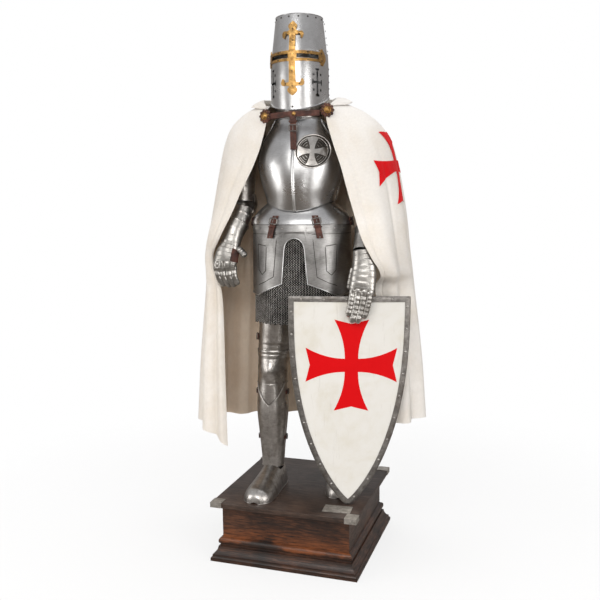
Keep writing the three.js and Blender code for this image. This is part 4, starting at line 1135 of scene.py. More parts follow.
def arch_foot(x):
    """The edge of the arch above a point x from the middle: a half round on two splayed legs."""
    a = ARCH
    x = np.abs(x)
    crown = a["spring"] + (a["crown"] - a["spring"]) * np.sqrt(np.clip(1 - (x / a["half"]) ** 2, 0, 1))
    leg = a["spring"] - (x - a["half"]) / (a["foot"] - a["half"]) * (a["spring"] - a["bottom"])
    return np.where(x < a["half"], crown, np.where(x < a["foot"], leg, 0))


def hips(angle, z, lift=0.0):
    return oval(HIPS, z, ROUND(angle), lift)


def add_fauld():
    """The waist plate flares to the hips, and its lowest 20 mm turns out a little."""
    u, v = grid(130, 44)
    angle = (u * 2 - 1) * 97
    z = mix(FAULD_FOOT, FAULD_TOP, v)
    step = .0008 * np.clip(1 - (z - FAULD_FOOT) / .02, 0, 1)
    plate("waist_plate", hips(angle, z, step), BRIGHT, ("fauld",))
    edge = hips(angle[0], np.full_like(angle[0], FAULD_FOOT), .0006)
    top = hips(angle[0], np.full_like(angle[0], FAULD_TOP - .003), .0004)
    make("waist_edges", [tube(edge, .0013), tube(top, .0022)], BRIGHT)


def add_tassets():
    """One skirt plate with an arch cut out of its front, and a belt that stands proud at the top."""
    leg_turn = np.degrees(np.arcsin(np.array([ARCH["half"], .0493]) / TASSET_WIDE))
    special = np.concatenate([leg_turn, -leg_turn, [-52, 52]])
    angles = with_lines(np.linspace(-97, 97, 161), special)
    foot = np.maximum(tasset_foot(angles), arch_foot(TASSET_WIDE * np.sin(ROUND(angles))))
    v = np.linspace(0, 1, 61)[:, None]
    z = mix(foot[None], TASSET_TOP, v)
    belt = .0014 * np.clip((z - 1.0275) / .0025, 0, 1)
    points = hips(np.broadcast_to(angles, z.shape), z, belt - LAP)
    # The skirt plates are in the darker copy of the bright steel: painted shade.
    plate("tassets_shell", points, SKIRT_PAINTED_SHADE, ("tassets",))
    edge = hips(angles, foot, -LAP + .0004)
    make("tassets_rolled_edge", [tube(edge, .0021, up=FRONT)], BRIGHT)
    lines = []
    steps = np.linspace(0, 1, 13)[:-1, None]
    for side in (-1, 1):
        arch_line = [(21, 1.008), (25.5, .862), (39, .840), (52, .826)]
        panel = [(36, .978), (52, .984), (50, .886), (43.5, .868), (37, .884), (36, .978)]
        border = [(19.5, 1.022), (30, 1.0235), (60, 1.0235), (92, 1.0235)]
        for corners, radius in ((arch_line, .0012), (panel, .0014), (border, .0008)):
            drawn = np.array(corners) * (side, 1)
            path = np.vstack([mix(a, b, steps) for a, b in zip(drawn, drawn[1:])] + [drawn[-1:]])
            lines.append(tube(hips(path[:, 0], path[:, 1], -LAP + .0001), radius, sides=6, up=FRONT))
    # Near-black beads for the engraved lines: painted shade.
    make("tassets_engraved_lines", lines, PAINTED_SHADE_DARK)
    seats = hips(np.array([s * a for s in (-1, 1) for a in (14, 48, 64, 84)]), np.full(8, 1.045))
    make("tassets_rivets", domes(seats, outwards(seats), .0030, .5), AGED)


def add_culet():
    """Lames over the seat: the lift grows by 1.1 mm over each 62 mm and then steps back."""
    u, v = grid(100, 60)
    z = mix(.850, FAULD_TOP, v)
    lift = -.007 + .0011 * ((1.17 - z) / .062 % 1)
    points = hips(90 + 180 * u, z, lift)
    plate("culet_lames", points, BRIGHT, ("culet",))
    make("culet_edge", [tube(points[0], .0018)], BRIGHT)


def add_mail():
    """The skirt of rings: its cloth sways in nine waves, and its hem is ragged."""
    u, v = grid(180, 40)
    z = mix(MAIL_HEM, MAIL_TOP, v)
    hem = .004 * np.sin(u * 2 * np.pi * 46) * np.clip(1 - v * 14, 0, 1)
    sway = -.0030 + .0030 * np.sin(u * 2 * np.pi * 9 + 2 * v) * (1 - v)
    points = hips(u * 360, z + hem, -.0096 + sway)
    flat = np.stack([u * round(MAIL_GIRTH / MAIL_PITCH), v * (MAIL_TOP - MAIL_HEM) / (MAIL_PITCH * .86)], -1)
    plate("mail_rings_skirt", points, MAIL, ("mail_skirt",), wall=.0028, ring=True, uv=flat)


add_fauld()
add_tassets()
add_culet()
add_mail()
print("waist, tassets, culet and mail")

# %% [markdown]
# ## Arms and gauntlets
# A limb is a course of stations, each with a centre and two half widths. A frame follows the
# course, so a sleeve, a cuff or an elbow cop is a part of the same limb with more or less added to
# its half widths. The lames of the gauntlets overlap like roof tiles: the surface grows a little
# towards each lame's edge and then steps back in.

# %% Arm tables
ARMS = dict(
    right=table(
        "x y z side front",
        (-.275, -.052, .985, .036, .032), (-.265, -.032, 1.032, .037, .036),
        (-.250, .0, 1.085, .042, .042), (-.240, .020, 1.130, .042, .044),
        (-.240, .026, 1.190, .044, .047), (-.238, .026, 1.260, .049, .054),
        (-.228, .022, 1.335, .058, .063), (-.197, .018, 1.418, .066, .070),
    ),
    left=table(
        "x y z side front",
        (.257, -.126, .955, .036, .032), (.262, -.090, 1.000, .037, .036),
        (.265, -.034, 1.055, .042, .042), (.262, .018, 1.105, .042, .044),
        (.256, .034, 1.180, .044, .047), (.246, .034, 1.260, .049, .054),
        (.230, .026, 1.335, .058, .063), (.197, .018, 1.418, .066, .070),
    ),
)
HANDS = dict(
    right=table("x y z side front", (-.276, -.054, .980, .037, .030),
                (-.286, -.070, .940, .044, .025), (-.292, -.080, .900, .045, .021),
                (-.291, -.080, .880, .045, .018)),
    left=table("x y z side front", (.257, -.129, .950, .037, .030),
               (.263, -.143, .900, .043, .025), (.260, -.157, .842, .046, .021),
               (.254, -.163, .800, .047, .018)),
)
FINGERS = dict(
    right=table("x y z", (-.291, -.080, .898), (-.288, -.080, .860),
                (-.280, -.066, .832), (-.272, -.044, .814)),
    left=table("x y z", (.259, -.158, .830), (.252, -.164, .790),
               (.242, -.166, .742), (.228, -.170, .692)),
)
FINGER_SETS = table("shift radius reach", (.0355, .0115, .88), (.0122, .0125, 1), (-.0118, .0120, .97),
                    (-.0345, .0108, .82))
THUMBS = dict(
    right=table("x y z", (-.240, -.068, .966), (-.222, -.078, .952), (-.206, -.088, .936)),
    left=table("x y z", (.224, -.142, .900), (.214, -.136, .860), (.206, -.132, .815)),
)


def centre_of(course, share):
    """The middle of a limb at a share of its course."""
    return np.stack([between(course, column, share) for column in ("x", "y", "z")], -1)


def limb(course, share, angle, lift=0.0):
    """A point on a limb: the frame follows the course, and angle 0 faces the front."""
    share, angle = np.broadcast_arrays(share, angle)
    axis = unit(centre_of(course, share + .01) - centre_of(course, share - .01))
    front = unit(np.array([0, -1.0, 0]) + axis * axis[..., 1:2])
    side = np.cross(axis, front)
    wide = (between(course, "side", share) + lift) * np.sin(angle)
    deep = (between(course, "front", share) + lift) * np.cos(angle)
    return centre_of(course, share) + side * wide[..., None] + front * deep[..., None]


def tiles(v, count, high):
    """How far overlapping lames stand proud: each grows to its lower edge and then steps back."""
    return high * (1 - (v * count) % 1.0)


def finger(course, shift, radius, share_end, lames):
    """A finger of lames: a round section along the course, narrowing to a blunt tip, with a step
    at the edge of each lame. The section is a little flatter than it is wide."""
    columns, rows = 16, 40
    u, v = grid(columns, rows)
    v = v * .999
    share = v * share_end
    tip = np.sqrt(np.maximum(.02, 1 - np.clip((v - .86) / .14, 0, 1) ** 2 * .98))
    tile = 1 + .16 * ((v * lames) % 1.0) - .05
    spread = shift * (1 - .16 * v)
    middle = centre_of(course, share)
    axis = unit(centre_of(course, share + .02) - middle)
    side = unit(np.array([1.0, 0, 0]) - axis * axis[..., :1])
    front = np.cross(side, axis)
    size = (radius * tip * tile)[..., None]
    turn = (u * 2 * np.pi)[..., None]
    points = middle + side * (spread[..., None] + size * np.sin(turn)) + front * size * np.cos(turn) * .86
    points[-1] = points[-1, :-1].mean(0)
    points[0] = points[0, :-1].mean(0)
    return points[:, :-1], faces_of(rows, columns, ring=True)[:, ::-1]


# %% Arms
KNUCKLES = dict(right=.42, left=.16)


def reversed_course(course):
    return {key: value[::-1] for key, value in course.items()}


def add_hand_plate(side, hand, mirror):
    """The back of the hand: lames all the way, and from the knuckles down four ridges, one for each
    finger. A ridge is a half circle across the hand."""
    back = reversed_course(hand)
    u, v = grid(110, 70)
    turn = u * 2 * np.pi
    x = between(back, "side", v) * np.sin(turn)
    off = np.abs(x[..., None] + mirror * FINGER_SETS["shift"]).min(-1) / .0122
    ridge = .0075 * np.sqrt(np.clip(1 - off ** 2, 0, 1)) - .0055
    knuckles = np.clip((KNUCKLES[side] - v) / .03, 0, 1)
    lames = .0016 * ((v * 9) % 1.0) + .001
    points = limb(back, v * 1.07, turn, lames + ridge * knuckles)
    points[0] = points[0, :-1].mean(0)
    plate(f"gauntlet_hand_{side}", points, HAND, (f"hand_{side}",), ring=True, sharp=35)


def add_arm(side, mirror):
    """The plates of one arm, from the shoulder to the cuff, and the gauntlet with its fingers."""
    arm, hand = ARMS[side], HANDS[side]
    u, v = grid(56, 48)
    turn = u * 2 * np.pi
    plate(f"upper_arm_plates_{side}", limb(arm, mix(.47, 1, v), turn, tiles(v, 6, .0012)), AGED,
          (f"upper_arm_{side}",), ring=True)
    swell = .0035 + .013 * np.sin(np.pi * v) * (.55 + .45 * np.cos(ROUND(75 + 210 * u) - np.pi))
    plate(f"elbow_cop_{side}", limb(arm, mix(.36, .54, v), ROUND(75 + 210 * u), swell), AGED,
          (f"couter_{side}",))
    plate(f"forearm_plate_{side}", limb(arm, mix(.12, .40, v), turn, tiles(v, 3, .0010)), AGED,
          (f"vambrace_{side}",), ring=True)
    flare = .0026 + .0036 * v ** 1.5 + tiles(v, 3, .0010)
    cuff = limb(arm, mix(0, .22, v), turn, flare)
    plate(f"gauntlet_cuff_{side}", cuff, HAND, (f"cuff_{side}",), ring=True)
    make(f"gauntlet_cuff_edge_{side}", [tube(cuff[-1, :-1], .0018, closed=True)], HAND)
    add_hand_plate(side, hand, mirror)
    course = FINGERS[side]
    parts = [finger(course, mirror * shift, radius, long, 8 if side == "left" else 6)
             for shift, radius, long in zip(*FINGER_SETS.values())]
    roll = centre_of(course, np.zeros(24)) + np.outer(np.linspace(-.040, .040, 24), (1, 0, 0))
    parts.append(tube(roll - (0, 0, .005), .0075, sides=12))
    make(f"gauntlet_fingers_{side}", parts, HAND, (f"fingers_{side}",), sharp=60)
    thumb = finger(THUMBS[side], 0, .0120, 1.0, 4)
    make(f"gauntlet_thumb_{side}", [thumb], HAND, (f"thumb_{side}",), sharp=60)


def add_palm_leather():
    """The glove's leather shows between the right thumb and the hand."""
    u, v = grid(20, 20)
    patch = limb(reversed_course(HANDS["right"]), mix(.48, .86, v), ROUND(mix(28, 84, u)), .0052)
    plate("glove_leather_right", patch, LEATHER, wall=.0015)


add_arm("right", 1)
add_arm("left", -1)
add_palm_leather()
print("arms and gauntlets")

# %% [markdown]
# ## Legs and feet
# A leg is one table of half widths on an axis that bends a little at the knee. The thigh and knee
# plates are open at the back, and the shin plate is closed. The shoe is a half round that swells
# from the heel to a broad toe, made of lames that overlap forwards.

# %% Leg tables
LEG = table(
    "z side front back knee",
    (.06, .044, .044, .046, 0), (.12, .046, .047, .047, 0), (.22, .055, .055, .062, 0),
    (.31, .063, .06, .074, 0), (.38, .061, .06, .068, 0), (.44, .057, .058, .056, .003),
    (.478, .057, .059, .055, .009), (.52, .059, .059, .058, .003), (.56, .067, .062, .063, 0),
    (.63, .075, .068, .07, 0), (.8, .082, .078, .078, 0),
)
LEG_AXES = dict(
    right=table("z x y", (.06, -.125, -.021), (.478, -.127, .006), (.63, -.109, .018), (.8, -.094, .024)),
    left=table("z x y", (.06, .135, .085), (.478, .124, .050), (.63, .105, .032), (.8, .092, .024)),
)
FOOT_TURN = dict(right=-6.5, left=8)
FOOT = table(
    "ahead half high",
    (-.066, .016, .05), (-.056, .038, .088), (-.03, .047, .103), (.02, .05, .104), (.07, .053, .084),
    (.13, .058, .066), (.175, .057, .055), (.197, .050, .047), (.210, .040, .038), (.219, .026, .026),
    (.2235, .011, .011),
)
THIGH, KNEE, SHIN = (.545, .800), (.424, .558), (.086, .432)


def leg(side, z, angle, lift=0.0):
    """The leg's oval at a height, on the leg's own axis, with the knee pushed forward."""
    axes = LEG_AXES[side]
    forward = np.cos(angle) > 0
    bulge = np.where(forward, along(LEG, "knee", z) * np.cos(angle) ** 2, 0)
    wide = along(LEG, "side", z) + lift
    deep = np.where(forward, along(LEG, "front", z), along(LEG, "back", z)) + lift + bulge
    return np.stack([along(axes, "x", z) + wide * np.sin(angle),
                     along(axes, "y", z) - deep * np.cos(angle), np.broadcast_to(z, angle.shape)], -1)


def foot_point(side, share, u):
    """A half round over the sole: sin ** .95 of its half width and cos ** .9 of its height."""
    ahead = mix(FOOT["ahead"][0], FOOT["ahead"][-1], share)
    half = along(FOOT, "half", ahead, "ahead")
    high = along(FOOT, "high", ahead, "ahead")
    turn = np.pi * (u - .5)
    x = half * np.sign(np.sin(turn)) * np.abs(np.sin(turn)) ** .95
    z = high * np.abs(np.cos(turn)) ** .9
    heading = math.radians(FOOT_TURN[side])
    heel = LEG_AXES[side]
    return np.stack([heel["x"][0] + x * math.cos(heading) + ahead * math.sin(heading),
                     heel["y"][0] + x * math.sin(heading) - ahead * math.cos(heading), z], -1)


# %% Legs
def add_leg(side):
    """Thigh plate, knee cop with its ridge and pointed lame, and the shin plate with its spine."""
    u, v = grid(72, 52)
    open_turn = ROUND(mix(-140, 140, u))
    z = mix(*THIGH, v)
    low_lames = .0010 * (z < .606) * (1 - ((z - .545) / .0205) % 1.0)
    plate(f"thigh_plate_{side}", leg(side, z, open_turn, low_lames), AGED, (f"cuisse_{side}",))
    z = mix(*KNEE, v)
    tile = np.where(z > .523, .0016 * (((z - .523) / .0175) % 1.0), .0008)
    ridge = .0035 * np.exp(-(open_turn / .22) ** 2) * np.exp(-((z - .478) / .030) ** 2)
    knee = leg(side, z, open_turn, .0030 + tile + ridge)
    plate(f"knee_cop_{side}", knee, AGED, (f"poleyn_{side}",))
    make(f"knee_edges_{side}", [tube(knee[0], .0016), tube(knee[-1], .0014)], AGED)
    z = mix(*SHIN, v)
    turn = u * 2 * np.pi
    off = (turn + np.pi) % (2 * np.pi) - np.pi
    spine = .0042 * np.exp(-np.abs(off) / .10) * np.clip((.40 - z) / .05, 0, 1)
    shin = leg(side, z, turn, spine)
    plate(f"shin_plate_{side}", shin, AGED, (f"greave_{side}",), ring=True)
    edge = np.linspace(-1, 1, 40)
    tip_z = mix(.337, .428, np.abs(edge) ** 1.3)
    point = leg(side, tip_z, edge * 1.15, .0040)
    rows = [leg(side, mix(tip_z, .4285, t), edge * 1.15, .0036) for t in np.linspace(0, 1, 12)]
    plate(f"knee_pointed_lame_{side}", np.stack(rows), AGED, wall=.0012)
    line = leg(side, tip_z + .007, edge * 1.08, .0045)
    make(f"knee_lame_edge_{side}", [tube(point, .0012, up=FRONT)], AGED)
    # The engraved line is a near-black bead: painted shade.
    make(f"knee_lame_line_{side}", [tube(line, .0007, sides=6, up=FRONT)], PAINTED_SHADE_DARK)
    ankle = leg(side, np.full(72, SHIN[0] + .001), around(72), .0004)
    seam = [leg(side, np.linspace(.10, .425, 50), np.full(50, side_turn), .0003)
            for side_turn in (np.pi / 2, -np.pi / 2)]
    make(f"shin_edges_{side}", [tube(ankle, .0014, closed=True)]
         + [tube(path, .0009, sides=6, up=(1, 0, 0)) for path in seam], AGED)


def add_shoe(side):
    """The shoe's lames, left open inside the shin plate, and a bead along each edge of the sole."""
    u, v = grid(48, 90)
    share = 1 - v
    tile = .0013 * ((share * 11) % 1.0) * (share > .36) * (share < .93)
    points = foot_point(side, share, u)
    centre = foot_point(side, share, np.full_like(u, .5)) * (1, 1, 0)
    points = points + unit(points - centre) * tile[..., None]
    for end in (0, -1):
        points[end] = points[end].mean(0)
    axis = np.stack([along(LEG_AXES[side], key, np.maximum(points[..., 2], .06)) for key in "xy"], -1)
    hidden = (np.linalg.norm(points[..., :2] - axis, axis=-1) < .043) & (points[..., 2] > .070)
    keep = ~(hidden[:-1, :-1] & hidden[1:, 1:])
    plate(f"shoe_lames_{side}", points, AGED, (f"sabaton_{side}",), keep=keep)
    soles = [foot_point(side, np.linspace(1, 0, 60), np.full(60, end)) + (0, 0, .0014) for end in (0, 1)]
    make(f"shoe_edges_{side}", [tube(sole, .0014) for sole in soles], AGED)


for each in ("right", "left"):
    add_leg(each)
    add_shoe(each)
print("legs and shoes")

# %% [markdown]
# ## The mantle
# The mantle is three panels on one surface. Its plan at each height is an ellipse round the back
# that turns forward into the two free edges, and its folds push the plan in and out, deeper towards
# the hem. Hanging cloth folds along the thread, so every fold is a soft ridge that starts below the
# shoulder and deepens as it falls. Finer creases of uneven depth are added to the main folds.

# %% Mantle tables
MANTLE = table(
    "z wide more mid back edge rightX rightY leftX leftY",
    (1.508, .118, 0, .022, .084, 1.466, -.106, -.097, .118, -.111),
    (1.512, .158, 0, .024, .098, 1.428, -.112, -.102, .124, -.114),
    (1.486, .224, .004, .030, .110, 1.386, -.122, -.106, .136, -.117),
    (1.436, .284, .012, .045, .110, 1.336, -.138, -.107, .152, -.120),
    (1.368, .320, .020, .075, .092, 1.272, -.166, -.105, .174, -.121),
    (1.270, .346, .020, .100, .080, 1.190, -.212, -.098, .196, -.122),
    (1.160, .370, .015, .112, .084, 1.100, -.258, -.092, .222, -.126),
    (1.050, .390, .009, .118, .092, 1.010, -.308, -.092, .254, -.158),
    (.950, .402, .005, .120, .098, .935, -.350, -.056, .292, -.172),
    (.860, .412, .002, .122, .102, .860, -.330, -.052, .322, -.140),
    (.770, .420, 0, .124, .106, .770, -.316, -.054, .294, -.058),
    (.500, .448, 0, .126, .116, .500, -.312, -.060, .344, -.066),
    (.235, .468, 0, .128, .124, .235, -.308, -.062, .350, -.074),
)
FOLDS = table(
    "at half deep",
    (-.97, .050, .016), (-.85, .075, .030), (-.70, .070, .026), (-.55, .080, .038),
    (-.39, .075, .034), (-.23, .080, .042), (-.07, .075, .034), (.09, .080, .040),
    (.25, .075, .036), (.41, .080, .042), (.57, .075, .032), (.72, .070, .036), (.87, .075, .026),
)
CREASES = table(
    "at lean half deep top",
    (-.93, .02, .016, .0045, .18), (-.79, -.03, .020, .0050, .30), (-.64, .02, .018, .0050, .22),
    (-.47, -.02, .020, .0060, .34), (-.31, .03, .018, .0050, .26), (-.15, -.01, .020, .0055, .30),
    (.02, .02, .020, .0060, .22), (.17, -.02, .018, .0050, .34), (.33, .02, .020, .0055, .26),
    (.49, -.03, .018, .0050, .20), (.645, .02, .020, .0060, .16), (.80, -.02, .018, .0050, .24),
    (.94, .01, .014, .0040, .14),
)
HEM = table("at z", (-1, .160), (-.9, .205), (-.75, .232), (-.3, .222), (.2, .245), (.6, .285), (1, .292))
BACK_SHARE = .64                        # of each half of the plan lies behind its widest point
SEAM = .38
MANTLE_SIZE = (.72, 1.32)               # metres of cloth for each unit of s and of v


def humps(rows, s, lean=0.0):
    """The sum of the folds at s: each is one wave of a cosine, as wide as twice its half."""
    off = np.abs(s[..., None] - rows["at"] - lean) / rows["half"]
    return np.where(off < 1, rows["deep"] * (1 + np.cos(np.pi * np.minimum(off, 1))) / 2, 0)


def mantle_plan(rows, s):
    """The plan at a height: half an ellipse behind, and a quarter of one in to each free edge."""
    widest = np.where(s < 0, -rows["wide"], rows["wide"] + rows["more"])
    part = np.abs(s)
    edge_x = np.where(s < 0, rows["rightX"], rows["leftX"])
    edge_y = np.where(s < 0, rows["rightY"], rows["leftY"])
    behind = part / BACK_SHARE * np.pi / 2
    ahead = (part - BACK_SHARE) / (1 - BACK_SHARE) * np.pi / 2
    x = np.where(part < BACK_SHARE, widest * np.sin(behind), edge_x + (widest - edge_x) * np.cos(ahead))
    y = np.where(part < BACK_SHARE, rows["mid"] + rows["back"] * np.cos(behind),
                 rows["mid"] + (edge_y - rows["mid"]) * np.sin(ahead))
    front = np.where(part < BACK_SHARE, 0, np.sin(ahead) ** 2)
    return x, y, front


def mantle(s, v, lift=0.0, fine=1.0):
    """A point of the cloth: s runs from -1 at the right front edge, round the back, to 1 at the
    left one, and v from the neck to the hem. The folds push it out across its plan."""
    s, v = np.broadcast_arrays(np.asarray(s, float), np.asarray(v, float))
    rows = {column: between(MANTLE, column, v) for column in MANTLE}
    x, y, front = mantle_plan(rows, s)
    x1, y1, _ = mantle_plan(rows, s + .002)
    x0, y0, _ = mantle_plan(rows, s - .002)
    across = unit(np.stack([x1 - x0, y1 - y0], -1))
    grow = np.clip((v - .3) / .6, 0, 1) ** 1.2
    push = (humps(FOLDS, s).sum(-1) - .014) * grow + lift
    small = humps(CREASES, s, CREASES["lean"] * v[..., None])
    small = (small * np.clip((v[..., None] - CREASES["top"]) / .25, 0, 1)).sum(-1)
    soft = .0016 * np.sin(37 * s + 9 * v) * np.sin(11 * v + 5 * s) * np.clip(v * 3, 0, 1)
    push = push - fine * (small - soft)
    level = mix(rows["z"], rows["edge"], front)
    hem = along(HEM, "z", np.clip(s, -1, 1), "at") - MANTLE["z"][-1]
    drop = hem * np.clip((v - .6) / .4, 0, 1.01) ** 1.5
    return np.stack([x - across[..., 1] * push, y + across[..., 0] * push, level + drop], -1)


def cloth_size(points):
    """The sheet's own width and length: its longest row and its longest column, and its area."""
    rows = np.linalg.norm(np.diff(points, axis=1), axis=-1).sum(1)
    columns = np.linalg.norm(np.diff(points, axis=0), axis=-1).sum(0)
    a, b = points[1:, :-1] - points[:-1, :-1], points[:-1, 1:] - points[:-1, :-1]
    c, d = points[1:, :-1] - points[1:, 1:], points[:-1, 1:] - points[1:, 1:]
    area = (np.linalg.norm(np.cross(a, b), axis=-1) + np.linalg.norm(np.cross(c, d), axis=-1)).sum() / 2
    return rows.max(), columns.max(), area


# %% Mantle panels
def add_mantle():
    slack = .00005
    panels = (
        ("right", -1, -SEAM - slack, 110, ("mantle_right",)),
        ("back", -SEAM + slack, SEAM - slack, 130, ("mantle_back",)),
        ("left", SEAM + slack, 1, 110, ("mantle_left",)),
    )
    sizes = []
    for side, start, end, columns, nodes in panels:
        u, v = grid(columns, 150)
        s = mix(end, start, u)
        points = mantle(s, v)
        wide, long, area = cloth_size(points)
        flat = np.stack([s, v], -1) * MANTLE_SIZE
        # The cloth's inner side gets the tan copy of the wool: painted shade.
        piece = plate(f"mantle_cloth_{side}", points, WOOL, nodes, wall=.0018, uv=flat, lining=WOOL_PAINTED_INNER_SHADE)
        sizes.append((piece, wide, long, area))
        print("mantle", side, "wide", round(wide, 3), "long", round(long, 3), "area", round(area, 3))
    return sizes


MANTLE_PIECES = add_mantle()

# %% [markdown]
# ### The cross on the shoulder
# A red cross of cloth is sewn on the left shoulder. It is drawn flat and laid on the mantle by
# measuring along the cloth, so it keeps its real size where the cloth curves.

# %% Shoulder cross
BADGE = dict(s=.688, v=.408, lean=.10, arm=.146, neck=.021, end=.055, notch=.013)


def lay_on_cloth(flat, lift):
    """Measures along the cloth, as a tailor does: up or down the column at the cross's middle gives
    v, and forward or back along the row at that v gives s."""
    v = np.linspace(.15, .75, 400)
    down = mantle(np.full_like(v, BADGE["s"]), v, fine=0)
    far = running(down)
    at_v = np.interp(np.interp(BADGE["v"], v, far) - flat[:, 1], far, v)
    s = np.linspace(.35, .99, 400)
    spread = np.linspace(at_v.min(), at_v.max(), 60)
    rows = mantle(s[None, :], spread[:, None], fine=0)
    runs = [running(row) for row in rows]
    at_s = np.array([np.interp(np.interp(BADGE["s"], s, run) - flat[:, 0], run, s) for run in runs])
    place = (at_v - spread[0]) / (spread[1] - spread[0])
    low = np.clip(place.astype(int), 0, len(spread) - 2)
    pick = np.arange(len(flat))
    s = mix(at_s[low, pick], at_s[low + 1, pick], place - low)
    return s, at_v, mantle(s, at_v, lift)


def add_shoulder_cross():
    outline = pattee(BADGE["arm"], BADGE["neck"], BADGE["end"], BADGE["notch"])
    flat, faces = cut_out(dense(outline, .006), .006)
    c, s = math.cos(BADGE["lean"]), math.sin(BADGE["lean"])
    s, v, points = lay_on_cloth(flat @ np.array([[c, -s], [s, c]]), .0046)
    corners = points[faces]
    normal = np.cross(corners[:, 1] - corners[:, 0], corners[:, 2] - corners[:, 0])
    area = np.linalg.norm(normal, axis=-1).sum() / 2
    faces = faces if normal[:, 0].sum() > 0 else faces[:, ::-1]
    uv = (np.stack([s, v], -1) * MANTLE_SIZE)[faces].reshape(-1, 2)
    piece = make("mantle_cross_cloth", [(points, faces)], RED_WOOL, ("mantle_cross",), wall=.0010, uv=uv)
    print("shoulder cross area", round(area, 4))
    return piece, area


CROSS_PIECE = add_shoulder_cross()

# %% [markdown]
# ## Hood, clasp and straps
# The hood lies in a soft roll round the neck, narrow at its ends and broad behind. The breast strap
# is one leather band between two scalloped rosettes, with a loose end that hangs from a stud in
# the middle through a loop.

# %% Hood
HOOD = table(
    "angle out z broad thick slope",
    (-128, .152, 1.497, .020, .011, 50), (-100, .170, 1.521, .056, .014, 24),
    (-60, .162, 1.529, .054, .016, 24), (-30, .152, 1.500, .086, .024, 72),
    (0, .152, 1.470, .116, .026, 80), (30, .152, 1.500, .086, .024, 72),
    (60, .162, 1.529, .054, .016, 24), (100, .170, 1.521, .056, .014, 24),
    (128, .157, 1.500, .020, .011, 50),
)


def hood_point(u, v):
    """A rounded lip carried round the neck: u goes once round the lip and v round the neck."""
    get = lambda column: between(HOOD, column, v)
    angle, slope, turn = ROUND(get("angle")), ROUND(get("slope")), u * 2 * np.pi
    end = np.sqrt(np.maximum(.02, 1 - np.abs(2 * v - 1) ** 8))
    pleat = 1 + .07 * np.sin(turn * 2 + 23 * v) + .05 * np.sin(turn * 5 - 31 * v)
    pleat = pleat + .06 * np.sin(59 * v + 2 * np.sin(turn))
    broad = (get("broad") * np.cos(turn) / 2 * end) * pleat
    thick = (get("thick") * np.sin(turn) / 2 * end) * pleat
    out = get("out") + broad * np.cos(slope) + thick * np.sin(slope)
    z = get("z") - broad * np.sin(slope) + thick * np.cos(slope)
    return np.stack([out * np.sin(angle), .030 + out * .9 * np.cos(angle), z], -1)


def add_hood():
    u, v = grid(48, 160)
    points = hood_point(u, v)
    points[0] = points[0, :-1].mean(0)
    points[-1] = points[-1, :-1].mean(0)
    flat = np.stack([u * .20, v * .75], -1)
    wide, long, area = cloth_size(points)
    piece = plate("hood_roll", points, WOOL, ("hood",), wall=.0022, ring=True, uv=flat, sharp=180)
    print("hood", round(wide, 3), round(long, 3), round(area, 3))
    return piece, wide, long, area


HOOD_PIECE = add_hood()


# %% Clasp
STRAP_CENTRE, STRAP_LEVEL = (.004, -.022), 1.459
TAIL_X, TAIL_FOOT = .003, 1.334
ROSETTES = (("right", (-.112, -.106, 1.462), -20), ("left", (.124, -.114, 1.476), 20))


def boxy(turn):
    """A circle's cosine and sine, drawn out towards the corners of a square."""
    both = np.stack([np.cos(turn), np.sin(turn)])
    return np.sign(both) * np.abs(both) ** .35


def band(path, wide_dir, out_dir, width, thick):
    """A flat strap: a rounded rectangle carried along a path, wide across and thin outwards."""
    path = np.asarray(path, float)
    wide_dir = unit(np.broadcast_to(np.asarray(wide_dir, float), path.shape))
    out_dir = unit(np.broadcast_to(np.asarray(out_dir, float), path.shape))
    across, out = boxy(around(24)) * [[width / 2], [thick / 2]]
    ring = path[:, None] + across[None, :, None] * wide_dir[:, None] + out[None, :, None] * out_dir[:, None]
    count, sides = len(path), len(across)
    side = faces_of(count - 1, sides, ring=True)
    low = np.arange(sides)[None, ::-1]
    high = np.arange(sides)[None] + (count - 1) * sides
    flat = ring.reshape(-1, 3)
    middle = ring[count // 2]
    normal = np.cross(middle[1] - middle[0], ring[count // 2 + 1][0] - middle[0])
    if normal @ (middle[0] - middle.mean(0)) < 0:
        side, low, high = side[:, ::-1], low[:, ::-1], high[:, ::-1]
    return [(flat, side), (flat, low), (flat, high)]


def strap_point(u, lift=0.0):
    """A point of the breast strap, from its right end at 0 to its left end at 1."""
    x, y = STRAP_CENTRE
    angle = mix(-.66, .66, u)
    return np.stack([x + (.150 + lift) * np.sin(angle), y - (.126 + lift) * np.cos(angle),
                     STRAP_LEVEL + .007 * u], -1)


def frame_ring(centre, wide, high, radius, out, up=UP):
    """A buckle's frame: a rounded rectangle of wire round a centre."""
    out = unit(np.asarray(out, float))
    side = unit(np.cross(np.asarray(up, float), out))
    lift = np.cross(out, side)
    across, along_up = boxy(around(40))
    path = np.asarray(centre) + np.outer(across * wide / 2, side) + np.outer(along_up * high / 2, lift)
    return tube(path, radius, closed=True, up=out)


